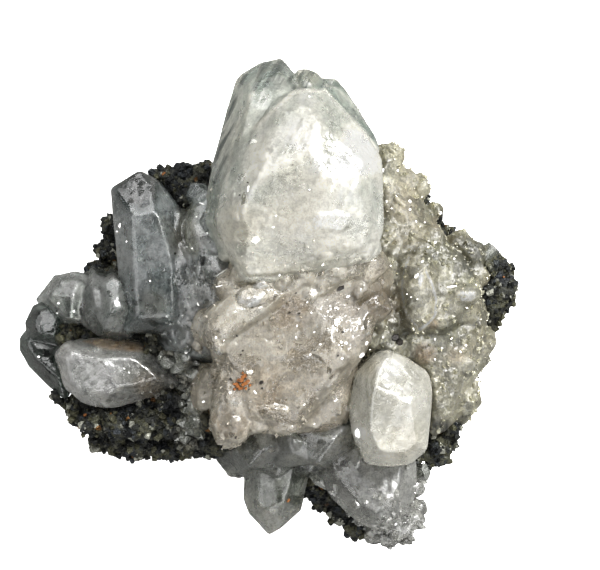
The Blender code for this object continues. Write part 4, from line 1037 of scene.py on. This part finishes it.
oreSettings = {
    "smoothing": 1,
    "wear": {
        "swell": 0.05, "uneven": 0.35, "unevenSize": 1.9, "stepSize": 2.6, "stepCount": 4, "stepHeight": 0.1,
        "etch": 0.15, "etchSize": 0.7, "shift": 12, "heads": 0.5, "headSize": 0.9,
    },
    "base": (0.006, 0.007, 0.008), "earth": (0.07, 0.068, 0.04), "metal": (0.03, 0.035, 0.042),
    "pale": (0.3, 0.3, 0.26), "ochre": (0.2, 0.1, 0.03), "metallic": 0.15, "roughness": (0.25, 0.75),
    "patches": {"Scale": 330, "Contrast": 0.14}, "grit": {"Scale": 2600, "Contrast": 0.14},
    "paleSpecks": {"Scale": 900, "Share": 0.1, "Size": 0.3}, "metalShare": 0.4, "paleStrength": 0.7,
    "facets": {"Scale": 3000, "Lean": 0.5, "Strong Lean": 1.2, "Share": 0.1},
    "gritStrength": 0.5, "gritDepth": 0.3, "toneShare": 0.75,  # depth in millimetres
    "tones": [(0.0, "base"), (0.4, "metal"), (0.58, "earth"), (0.84, "pale"), (0.97, "ochre")],
    "coatClear": (0.09, 0.092, 0.078), "coatMilky": (0.32, 0.31, 0.27),
    # where grey druse covers the ore: u, v, radius, strength
    "coat": [
        (200, 345, 22, 0.9), (205, 372, 20, 0.9), (180, 370, 18, 0.6), (192, 405, 18, 0.5),
        (190, 434, 14, 1.0), (165, 365, 14, 0.5), (215, 310, 20, 0.9), (185, 230, 14, 0.7),
        (290, 440, 40, 0.9), (330, 445, 30, 0.9), (480, 252, 14, 0.6), (478, 400, 14, 0.6),
        (470, 380, 14, 0.6), (445, 410, 14, 0.6), (395, 470, 30, 0.6), (395, 535, 20, 0.8),
        (60, 300, 20, 0.3), (130, 270, 10, 0.3), (222, 330, 16, 0.9), (215, 240, 16, 0.9),
        (205, 200, 10, 0.5),
    ],
}


def oreMaterial(name, look, usesTone):
    material, tree, shader, place = newMaterial(name)
    patches = placeGroup(tree, "veils", look["patches"], place)["Value"]
    grit = placeGroup(tree, "grain", look["grit"], place)["Value"]
    colour = mixColour(tree, patches, look["base"], look["earth"])
    colour = mixColour(tree, scaled(tree, grit, look["metalShare"]), colour, look["metal"])
    pale = placeGroup(tree, "specks", look["paleSpecks"], place)["Mask"]
    colour = mixColour(tree, scaled(tree, pale, look["paleStrength"]), colour, look["pale"])
    coat = mixColour(tree, grit, look["coatClear"], look["coatMilky"])
    if usesTone:
        ramp = addNode(tree, "ShaderNodeValToRGB", {"Fac": painted(tree, "tone")})
        ramp.color_ramp.interpolation = "CONSTANT"
        stops = ramp.color_ramp.elements
        stops.remove(stops[1])
        for position, tone in look["tones"]:
            stop = stops.new(position) if position else stops[0]
            stop.color = (*look[tone], 1)
        colour = mixColour(tree, look["toneShare"], colour, ramp.outputs["Color"])
    colour = mixColour(tree, painted(tree, "coat"), colour, coat)
    # painted shade: the hollows darkened to the base colour
    colour = mixColour(tree, painted(tree, "pit"), colour, look["base"])
    tree.links.new(colour, shader.inputs["Base Color"])
    tree.links.new(mapped(tree, grit, look["roughness"]), shader.inputs["Roughness"])
    facets = placeGroup(tree, "glints", look["facets"], place)
    relief = {"Height": grit, "Normal": facets["Normal"], "Distance": look["gritDepth"] * mm}
    bump = addNode(tree, "ShaderNodeBump", {**relief, "Strength": look["gritStrength"]})
    tree.links.new(bump.outputs["Normal"], shader.inputs["Normal"])
    shader.inputs["Metallic"].default_value = look["metallic"]
    return material


ore = copyOfNode("matrix", "oreSlab")
remesh(ore, finish["oreVoxel"], oreSettings["smoothing"])
paintPiece(ore, "druse", {"base": 1.0})
wearSurface(ore, oreSettings["wear"])
for vert in ore.data.vertices:
    if vert.co.z < 0.3 * mm:
        vert.co.z = max(0.0, vert.co.z)
paintPiece(ore, "druse", {"base": 0.8, "cloud": 0.4, "size": 3.0})
paintPiece(ore, "coat", {"base": -0.2, "cloud": 0.25, "size": 2.0, "spots": oreSettings["coat"]})
# painted shade in the hollows of the ore
paintPiece(ore, "pit", {}, 3.0 * np.clip(-ridges(ore, 8), 0, 1))
ore.data.materials.append(oreMaterial("oreFinish", oreSettings, False))
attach(ore, "root")
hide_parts("matrix")
print("ore slab:", len(ore.data.polygons), "faces")


# small crystals and grains, scattered over the surfaces


def shapeSet(name, shapes):
    collection = bpy.data.collections.new(name)
    for index, sides in enumerate(shapes):
        mesh = bpy.data.meshes.new(f"{name}{index}")
        block = cutBlock(sides)
        block.to_mesh(mesh)
        block.free()
        collection.objects.link(bpy.data.objects.new(mesh.name, mesh))
    return collection


prismShapes = []
for count, top in ((6, 52), (4, 44), (6, 62), (5, 50)):
    sides = [(0, 180, 0.6)]
    for index in range(count):
        sides.append((index * 360 / count + 9 * (index % 2), 90, 0.42 + 0.07 * (index % 3)))
        sides.append((index * 360 / count + 7, top, 0.72 + 0.06 * ((index * 2) % 3)))
    prismShapes.append(sides)
grainShapes = []
grainDice = random.Random(finish["seed"])
for count in (7, 8, 9, 10):
    sides = []
    for index in range(count):
        height = 1 - 2 * (index + 0.5) / count
        tilt = math.degrees(math.acos(height)) + grainDice.uniform(-12, 12)
        sides.append((index * 137.5 + grainDice.uniform(-20, 20), tilt, grainDice.uniform(0.36, 0.56)))
    grainShapes.append(sides)
shapes = {"prisms": shapeSet("prism", prismShapes), "grains": shapeSet("grain", grainShapes)}


def scatterTree():
    tree = bpy.data.node_groups.new("scatterSmallPieces", "GeometryNodeTree")
    sockets = {
        "Geometry": "Geometry", "Amount Name": "String", "Shapes": "Collection", "Density": "Float",
        "Smallest": "Float", "Largest": "Float", "Lean": "Float", "Seed": "Int",
    }
    for label, kind in sockets.items():
        tree.interface.new_socket(label, in_out="INPUT", socket_type="NodeSocket" + kind)
    tree.interface.new_socket("Geometry", in_out="OUTPUT", socket_type="NodeSocketGeometry")
    start, end = tree.nodes.new("NodeGroupInput").outputs, tree.nodes.new("NodeGroupOutput").inputs
    amount = addNode(tree, "GeometryNodeInputNamedAttribute", {"Name": start["Amount Name"]},
        data_type="FLOAT")
    density = maths(tree, "MULTIPLY", start["Density"], amount.outputs["Attribute"])
    points = addNode(
        tree, "GeometryNodeDistributePointsOnFaces",
        {"Mesh": start["Geometry"], "Density": density, "Seed": start["Seed"]}, distribute_method="RANDOM",
    )
    # most pieces are small, a few are large
    dice = addNode(tree, "FunctionNodeRandomValue", {"Seed": start["Seed"]}, data_type="FLOAT").outputs[1]
    size = mapped(tree, maths(tree, "POWER", dice, finish["smallShare"]),
        (start["Smallest"], start["Largest"]))
    back = maths(tree, "MULTIPLY", start["Lean"], -1.0)
    low = addNode(tree, "ShaderNodeCombineXYZ", {"X": back, "Y": back, "Z": -math.pi}).outputs[0]
    high = {"X": start["Lean"], "Y": start["Lean"], "Z": math.pi}
    high = addNode(tree, "ShaderNodeCombineXYZ", high).outputs[0]
    turn = {0: low, 1: high, "Seed": start["Seed"]}
    turn = addNode(tree, "FunctionNodeRandomValue", turn, data_type="FLOAT_VECTOR").outputs[0]
    aim = {"Rotation": points.outputs["Rotation"], "Rotate By": turn}
    rotate = addNode(tree, "FunctionNodeRotateRotation", aim, rotation_space="LOCAL").outputs[0]
    picked = {"Collection": start["Shapes"], "Separate Children": True, "Reset Children": True}
    library = addNode(tree, "GeometryNodeCollectionInfo", picked).outputs[0]
    spots = {"Points": points.outputs["Points"], "Instance": library, "Rotation": rotate, "Scale": size}
    place = addNode(tree, "GeometryNodeInstanceOnPoints",
        {**spots, "Pick Instance": True}).outputs["Instances"]
    toneDice = addNode(tree, "FunctionNodeRandomValue", {"Seed": finish["toneSeed"]}, data_type="FLOAT")
    tone = {"Geometry": place, "Name": "tone", "Value": toneDice.outputs[1]}
    toned = addNode(tree, "GeometryNodeStoreNamedAttribute", tone, data_type="FLOAT", domain="INSTANCE")
    solid = addNode(tree, "GeometryNodeRealizeInstances", {"Geometry": toned.outputs[0]})
    tree.links.new(solid.outputs[0], end["Geometry"])
    return tree


scatter = scatterTree()


def keepOffFloor(piece, name, reach):
    # nothing grows lower than its own size above the floor, or on the underside
    share = np.empty(len(piece.data.vertices))
    heights = np.empty(len(piece.data.vertices) * 3)
    facing = np.empty(len(piece.data.vertices) * 3)
    attribute = piece.data.attributes[name]
    attribute.data.foreach_get("value", share)
    piece.data.vertices.foreach_get("co", heights)
    piece.data.vertex_normals.foreach_get("vector", facing)
    share[(heights[2::3] < reach * mm) | (facing[2::3] < -0.3)] = 0
    attribute.data.foreach_set("value", share.astype(np.float32))


def scatterOn(base, name, plan):
    # small pieces over the whole of one mesh, as a mesh of their own
    piece = newPiece(name, base.data.copy())
    amount = plan.get("amount", "druse")
    keepOffFloor(piece, amount, plan["size"][1])
    modifier = piece.modifiers.new("scatter", "NODES")
    modifier.node_group = scatter
    sockets = {item.name: item.identifier for item in scatter.interface.items_tree if item.in_out == "INPUT"}
    modifier[sockets["Amount Name"]] = amount
    modifier[sockets["Shapes"]] = shapes[plan["shapes"]]
    modifier[sockets["Density"]] = plan["perCm2"] * 10000  # to the square metre
    modifier[sockets["Smallest"]] = plan["size"][0] * mm
    modifier[sockets["Largest"]] = plan["size"][1] * mm
    modifier[sockets["Lean"]] = math.radians(plan["lean"])
    modifier[sockets["Seed"]] = plan["seed"]
    applyModifiers(piece)
    piece.data.materials.clear()
    piece.data.shade_flat()
    print(name + ":", len(piece.data.polygons), "faces")
    return piece


druseLook = {"veils": {"Scale": 900, "Contrast": 0.2}, "frostShare": 0.35, "roughness": (0.15, 0.4),
    "gloss": 0.3}


def druseMaterial(name, look):
    material, tree, shader, place = newMaterial(name)
    veils = placeGroup(tree, "veils", druseLook["veils"], place)["Value"]
    colour = mixColour(tree, painted(tree, "tone"), look["deep"], look["pale"])
    colour = mixColour(tree, scaled(tree, veils, druseLook["frostShare"]), colour, look["frost"])
    tree.links.new(colour, shader.inputs["Base Color"])
    tree.links.new(mapped(tree, veils, druseLook["roughness"]), shader.inputs["Roughness"])
    shader.inputs["Specular IOR Level"].default_value = druseLook["gloss"]
    shader.inputs["IOR"].default_value = baseLook["ior"]
    shader.inputs["Transmission Weight"].default_value = look["transmission"]
    return material


druseSettings = {
    "mainDruse": {
        "on": "mainCrystals", "slot": "milky_crystal", "shapes": "prisms", "perCm2": 70, "size": (0.1, 0.3),
        "lean": 50, "seed": 3,
        "look": {"deep": (0.3, 0.28, 0.23), "pale": (0.5, 0.48, 0.42), "frost": (0.6, 0.59, 0.55),
            "transmission": 0.3},
    },
    "centralDruse": {
        "on": "centralCrystal", "slot": "milky_crystal", "shapes": "prisms", "perCm2": 160,
        "size": (0.1, 0.4), "lean": 50, "seed": 5,
        "look": {"deep": (0.4, 0.36, 0.28), "pale": (0.85, 0.8, 0.7), "frost": (1.0, 0.97, 0.9),
            "transmission": 0.85},
    },
    "crustDruse": {
        "on": "rightCrust", "slot": "crust_crystal", "shapes": "prisms", "perCm2": 180, "size": (0.12, 0.45),
        "lean": 50, "seed": 8,
        "look": {"deep": (0.62, 0.6, 0.44), "pale": (0.9, 0.88, 0.72), "frost": (0.95, 0.94, 0.8),
            "transmission": 0.85},
    },
    "leftDruse": {
        "on": "leftCrystals", "slot": "grey_crystal", "shapes": "prisms", "perCm2": 320, "size": (0.15, 0.6),
        "lean": 60, "seed": 12,
        "look": {"deep": (0.3, 0.32, 0.3), "pale": (0.7, 0.72, 0.7), "frost": (0.95, 0.96, 0.95),
            "transmission": 0.88},
    },
    "chipDruse": {
        "on": "bottomRightCrystal", "slot": "grey_crystal", "shapes": "prisms", "perCm2": 420,
        "size": (0.15, 0.6), "lean": 70, "seed": 15,
        "look": {"deep": (0.35, 0.35, 0.32), "pale": (0.8, 0.8, 0.76), "frost": (1.0, 1.0, 0.97),
            "transmission": 0.85},
    },
    "lowerLeftDruse": {
        "on": "lowerLeftCrystal", "slot": "milky_crystal", "shapes": "prisms", "perCm2": 260,
        "size": (0.2, 0.7), "lean": 60, "seed": 21,
        "look": {"deep": (0.3, 0.28, 0.24), "pale": (0.7, 0.68, 0.62), "frost": (0.95, 0.95, 0.9),
            "transmission": 0.85},
    },
}
for name, plan in druseSettings.items():
    piece = scatterOn(crystals[plan["on"]], name, plan)
    piece.data.materials.append(druseMaterial(name + "Finish", plan["look"]))
    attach(piece, "root")

grainSettings = {
    "greyDruse": {
        "slot": "grey_crystal", "shapes": "prisms", "amount": "coat", "perCm2": 90, "size": (0.7, 2.2),
        "lean": 50,
        "seed": 44, "crystal": {
            "milky": (0.85, 0.86, 0.8), "clear": (0.4, 0.42, 0.37), "transmission": 0.8, "cellScale": 900,
            "roughness": (0.06, 0.22),
        },
    },
    "oreGrains": {
        "slot": "ore_matrix", "shapes": "grains", "perCm2": 220, "size": (0.25, 0.95), "lean": 180,
        "seed": 31, "look": {**oreSettings, "metallic": 0.25},
    },
}
for name, plan in grainSettings.items():
    piece = scatterOn(ore, name, plan)
    if "crystal" in plan:
        for channel in ("warm", "dark", "frost"):
            paintPiece(piece, channel, {})
        paintPiece(piece, "milk", {"base": 0.4, "cloud": 0.5, "size": 1.5})
        piece.data.materials.append(crystalMaterial(name + "Finish", {**baseLook, **plan["crystal"]}))
    else:
        piece.data.materials.append(oreMaterial(name + "Finish", plan["look"], True))
    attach(piece, "root")


# marks and chips at their places on the crystals


def crystalSurface():
    bm = bmesh.new()
    for piece in list(crystals.values()) + [ore]:
        bm.from_mesh(piece.data)
    tree = BVHTree.FromBMesh(bm)
    bm.free()
    return tree


surface = crystalSurface()


def surfaceAt(u, v):
    x, y = photoToWorld(u, v)
    return surface.ray_cast(Vector((x, y, 0.1)), Vector((0, 0, -1)))[:2]


def addChip(bm, place, normal, length, width, height, turn, sides):
    # a small faceted chip lying on the surface
    made = bmesh.ops.create_cone(bm, cap_ends=True, segments=sides, radius1=0.5, radius2=0.36,
        depth=1.0)["verts"]
    bmesh.ops.scale(bm, verts=made, vec=(length * mm, width * mm, height * mm))
    bmesh.ops.rotate(bm, verts=made, cent=(0, 0, 0), matrix=Matrix.Rotation(math.radians(turn), 3, "Z"))
    tilt = Vector((0, 0, 1)).rotation_difference(normal).to_matrix()
    bmesh.ops.rotate(bm, verts=made, cent=(0, 0, 0), matrix=tilt)
    bmesh.ops.translate(bm, verts=made, vec=place)


def plainMaterial(name, look):
    material, tree, shader, place = newMaterial(name)
    veils = placeGroup(tree, "veils", {"Scale": look["scale"], "Contrast": 0.15}, place)["Value"]
    tree.links.new(mixColour(tree, veils, look["first"], look["second"]), shader.inputs["Base Color"])
    tree.links.new(mapped(tree, veils, look["roughness"]), shader.inputs["Roughness"])
    return material


chipSettings = {
    "darkSpecks": {
        "slot": "ore_matrix", "height": 0.26, "proud": 0.1,
        "look": {"scale": 1500, "first": (0.012, 0.011, 0.01), "second": (0.04, 0.035, 0.03),
            "roughness": (0.2, 0.5)},
        # u, v, length, width, turn
        "places": [
            (339.5, 288, 1.2, 0.66, 30), (342, 331, 0.36, 0.3, 0), (337, 354, 0.3, 0.26, 20),
            (242, 353, 0.36, 0.24, 40), (244, 349, 0.3, 0.2, 10), (238, 334, 0.24, 0.2, 0),
            (237, 434, 0.4, 0.28, 60), (232, 377, 0.36, 0.2, 50), (262, 380, 0.62, 0.5, 30),
            (263, 386, 0.3, 0.26, 0), (290, 312, 0.3, 0.2, 15), (296, 293, 0.34, 0.2, 30),
            (394, 337, 1.3, 1.0, 20), (399, 342, 1.0, 0.9, 60), (299, 313, 0.4, 0.2, 20),
            (242, 380, 0.3, 0.25, 40), (247, 377, 0.3, 0.2, 0), (233, 378, 0.36, 0.24, 80),
            (244, 384, 0.25, 0.2, 10), (250, 387, 0.3, 0.2, 30), (135, 290, 0.3, 0.3, 0),
            (176, 254, 0.3, 0.3, 20), (127, 301, 0.25, 0.2, 30), (129, 304, 0.25, 0.2, 70),
            (250, 186, 0.25, 0.2, 0), (293, 169, 0.2, 0.16, 0), (242, 198, 0.22, 0.18, 0),
            (231, 93, 0.6, 0.7, 20),
        ],
    },
    "rustGrains": {
        "slot": "ore_matrix", "height": 0.4, "proud": 0.0,
        "look": {"scale": 3600, "first": (0.3, 0.12, 0.025), "second": (0.05, 0.02, 0.008),
            "roughness": (0.4, 0.8)},
        "places": [
            (238, 382, 0.8, 0.6, 10), (243, 378, 0.9, 0.7, 50), (246, 374, 0.7, 0.6, 80),
            (249, 379, 0.7, 0.5, 20), (245, 382, 0.9, 0.6, 40), (241, 386, 0.7, 0.5, 70),
            (236, 387, 0.5, 0.4, 15), (251, 383, 0.5, 0.4, 55), (244, 371, 0.4, 0.35, 33),
            (247, 386, 0.5, 0.4, 77), (240, 378, 0.6, 0.5, 25), (235, 382, 0.4, 0.3, 65),
            (239, 384, 0.7, 0.6, 30), (244, 375, 0.6, 0.6, 0), (247, 381, 0.7, 0.6, 60),
            (243, 386, 0.6, 0.5, 20), (164, 174, 0.8, 0.5, 40), (288, 500, 0.7, 0.4, 60),
            (504, 277, 0.4, 0.3, 0), (85, 415, 0.6, 0.5, 20),
        ],
    },
    # white flakes where the crystals glint: painted glints
    "paleFlakes": {
        "slot": "milky_crystal", "height": 0.2, "proud": 0.04,
        "look": {"scale": 2200, "first": (0.95, 0.95, 0.93), "second": (0.85, 0.85, 0.82),
            "roughness": (0.08, 0.25)},
        "places": [
            (257, 241, 1.3, 1.0, 40), (251, 370, 0.95, 0.6, 10), (450, 287, 1.6, 0.35, 8),
            (187.5, 351, 0.8, 0.5, 60), (205, 400, 0.6, 0.4, 20), (440, 213, 0.6, 0.5, 30),
            (358, 322, 0.7, 0.5, 70), (345, 342, 0.5, 0.45, 0), (360, 354, 1.0, 0.6, 20),
            (365, 342, 0.7, 0.4, 50), (341, 357, 0.45, 0.35, 20), (200, 304, 0.6, 0.3, 120),
            (322, 265, 0.6, 0.25, 60), (297, 325, 0.4, 0.25, 70), (415, 276, 0.9, 0.4, 50),
            (421, 262, 0.5, 0.3, 20), (256, 390, 0.7, 0.25, 125), (310, 353, 0.4, 0.25, 20),
            (280, 275, 0.4, 0.3, 60), (357, 431, 0.9, 1.3, 10), (347, 296, 0.6, 0.4, 30),
            (340, 341, 0.5, 0.4, 0), (311, 312, 0.3, 0.25, 0), (327, 311, 0.35, 0.25, 50),
            (332, 329, 0.35, 0.3, 10), (314, 331, 0.3, 0.2, 70), (307, 302, 0.3, 0.2, 40),
            (320, 343, 0.35, 0.25, 0), (296, 336, 0.35, 0.3, 60), (304, 402, 0.35, 0.2, 30),
            (237, 311, 0.3, 0.2, 0), (250, 298, 0.35, 0.25, 20), (218, 336, 0.4, 0.3, 80),
            (314, 422, 0.3, 0.2, 0), (383, 172, 0.25, 0.9, 0), (397, 171, 0.35, 0.35, 0),
            (409, 202, 0.5, 0.5, 20), (409, 210, 0.4, 0.35, 50), (386, 202, 0.3, 0.3, 0),
            (391, 209, 0.3, 0.25, 0), (415, 222, 0.35, 0.3, 0), (424, 223, 0.3, 0.25, 0),
            (434, 243, 0.45, 0.4, 10), (389, 266, 0.3, 0.25, 0), (453, 259, 0.35, 0.3, 0),
            (406, 294, 0.25, 0.2, 0), (410, 297, 0.25, 0.2, 0), (416, 299, 0.25, 0.2, 0),
            (434, 339, 0.35, 0.3, 0), (441, 348, 0.35, 0.35, 30), (465, 345, 0.35, 0.3, 0),
            (434, 359, 0.35, 0.3, 0), (448, 363, 0.3, 0.25, 0), (382, 337, 0.35, 0.3, 0),
            (122, 226, 0.35, 0.8, -10), (119, 232, 0.3, 0.3, 0), (129, 242, 0.3, 0.3, 0),
            (60, 303, 0.35, 0.3, 0), (58, 313, 0.35, 0.3, 0), (75, 311, 0.4, 0.35, 40),
            (24, 328, 0.3, 0.3, 0), (152, 281, 0.3, 0.3, 0), (209, 234, 0.3, 0.3, 0),
            (198, 218, 0.3, 0.25, 0), (194, 249, 0.3, 0.3, 0), (171, 395, 0.35, 0.3, 0),
            (164, 417, 0.35, 0.3, 0), (38, 357, 0.4, 0.35, 0), (125, 368, 0.4, 0.2, -30),
            (130, 372, 0.35, 0.2, -30), (224, 272, 2.4, 0.14, 34), (221, 286, 1.2, 0.12, 17),
            (203, 205, 0.9, 0.14, -27), (309, 193, 0.3, 0.2, 0), (321, 160, 0.2, 0.7, 10),
            (277, 218, 0.3, 0.2, 40), (274, 229, 0.35, 0.25, 0), (309, 102, 0.3, 0.2, 0),
            (355, 186, 0.35, 0.2, 20), (250, 192, 0.2, 0.9, -8),
        ],
    },
}


def makeChips():
    for name, plan in chipSettings.items():
        bm = bmesh.new()
        dice = random.Random(len(plan["places"]))
        for u, v, length, width, turn in plan["places"]:
            place, normal = surfaceAt(u, v)
            if place is None:
                continue
            lean = Vector((dice.uniform(-0.3, 0.3), dice.uniform(-0.3, 0.3), 1)).normalized()
            raised = place + normal * plan["proud"] * mm
            addChip(bm, raised, (normal + lean).normalized(), length, width, plan["height"], turn,
                5 + len(bm.verts) % 3)
        mesh = bpy.data.meshes.new(name)
        bmesh.ops.recalc_face_normals(bm, faces=bm.faces)
        bm.to_mesh(mesh)
        bm.free()
        piece = newPiece(name, mesh)
        piece.data.materials.append(plainMaterial(name + "Finish", plan["look"]))
        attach(piece, "root")


makeChips()
print("marks and chips placed")


# camera, floor and light

studio = {
    "lens": 300, "distance": 0.62, "aimHeight": 15,
    "floorColour": (0.93, 0.93, 0.92), "floorShade": (0.3, 0.3, 0.29), "floorGlow": 0.95,
    "worldColour": (0.97, 0.98, 1.0), "worldStrength": 0.12, "gamma": 0.78,
    # soft boxes round the specimen, the top left open: name, place and size in metres, power in watts
    "lamps": [
        ("keyBox", (0.32, 0.27, 0.44), 0.15, 6.2), ("farBox", (-0.05, 0.5, 0.42), 0.7, 6.4),
        ("leftBox", (-0.52, 0.0, 0.42), 0.7, 3.7), ("rightBox", (0.52, -0.05, 0.42), 0.7, 4.6),
        ("nearBox", (0.05, -0.52, 0.42), 0.7, 4.3),
    ],
}


def makeStudio():
    scene = bpy.context.scene
    floorMesh = bpy.data.meshes.new("studioFloor")
    bm = bmesh.new()
    bmesh.ops.create_grid(bm, x_segments=1, y_segments=1, size=1.2)
    bm.to_mesh(floorMesh)
    bm.free()
    floor = newPiece("studioFloor", floorMesh)
    material = bpy.data.materials.new("floorFinish")
    material.use_nodes = True
    shader = material.node_tree.nodes["Principled BSDF"]
    shader.inputs["Roughness"].default_value = 0.9
    shader.inputs["Specular IOR Level"].default_value = 0.1
    shader.inputs["Emission Color"].default_value = (*studio["floorColour"], 1)
    # the floor is white to the eye but throws little light back up at the specimen
    tree = material.node_tree
    seen = addNode(tree, "ShaderNodeLightPath").outputs["Is Camera Ray"]
    tree.links.new(mixColour(tree, seen, studio["floorShade"], studio["floorColour"]),
        shader.inputs["Base Color"])
    tree.links.new(scaled(tree, seen, studio["floorGlow"]), shader.inputs["Emission Strength"])
    floorMesh.materials.append(material)

    world = bpy.data.worlds.new("studioWorld")
    world.use_nodes = True
    background = world.node_tree.nodes["Background"]
    background.inputs["Color"].default_value = (*studio["worldColour"], 1)
    background.inputs["Strength"].default_value = studio["worldStrength"]
    scene.world = world

    aim = Vector((photo["middleX"] * mm, photo["middleY"] * mm, studio["aimHeight"] * mm))
    for name, place, size, power in studio["lamps"]:
        light = bpy.data.lights.new(name, "AREA")
        light.size = size
        light.energy = power
        lamp = bpy.data.objects.new(name, light)
        scene.collection.objects.link(lamp)
        lamp.location = place
        lamp.rotation_euler = (aim - Vector(place)).to_track_quat("-Z", "Y").to_euler()

    camera = bpy.data.cameras.new("topCamera")
    camera.lens = studio["lens"]
    camera.sensor_width = 36
    camera.clip_start, camera.clip_end = 0.01, 10
    eye = bpy.data.objects.new("topCamera", camera)
    scene.collection.objects.link(eye)
    eye.location = aim + Vector((0, 0, studio["distance"]))
    eye.rotation_euler = (0, 0, 0)
    scene.camera = eye
    scene.view_settings.view_transform = "Standard"
    scene.view_settings.gamma = studio["gamma"]


makeStudio()
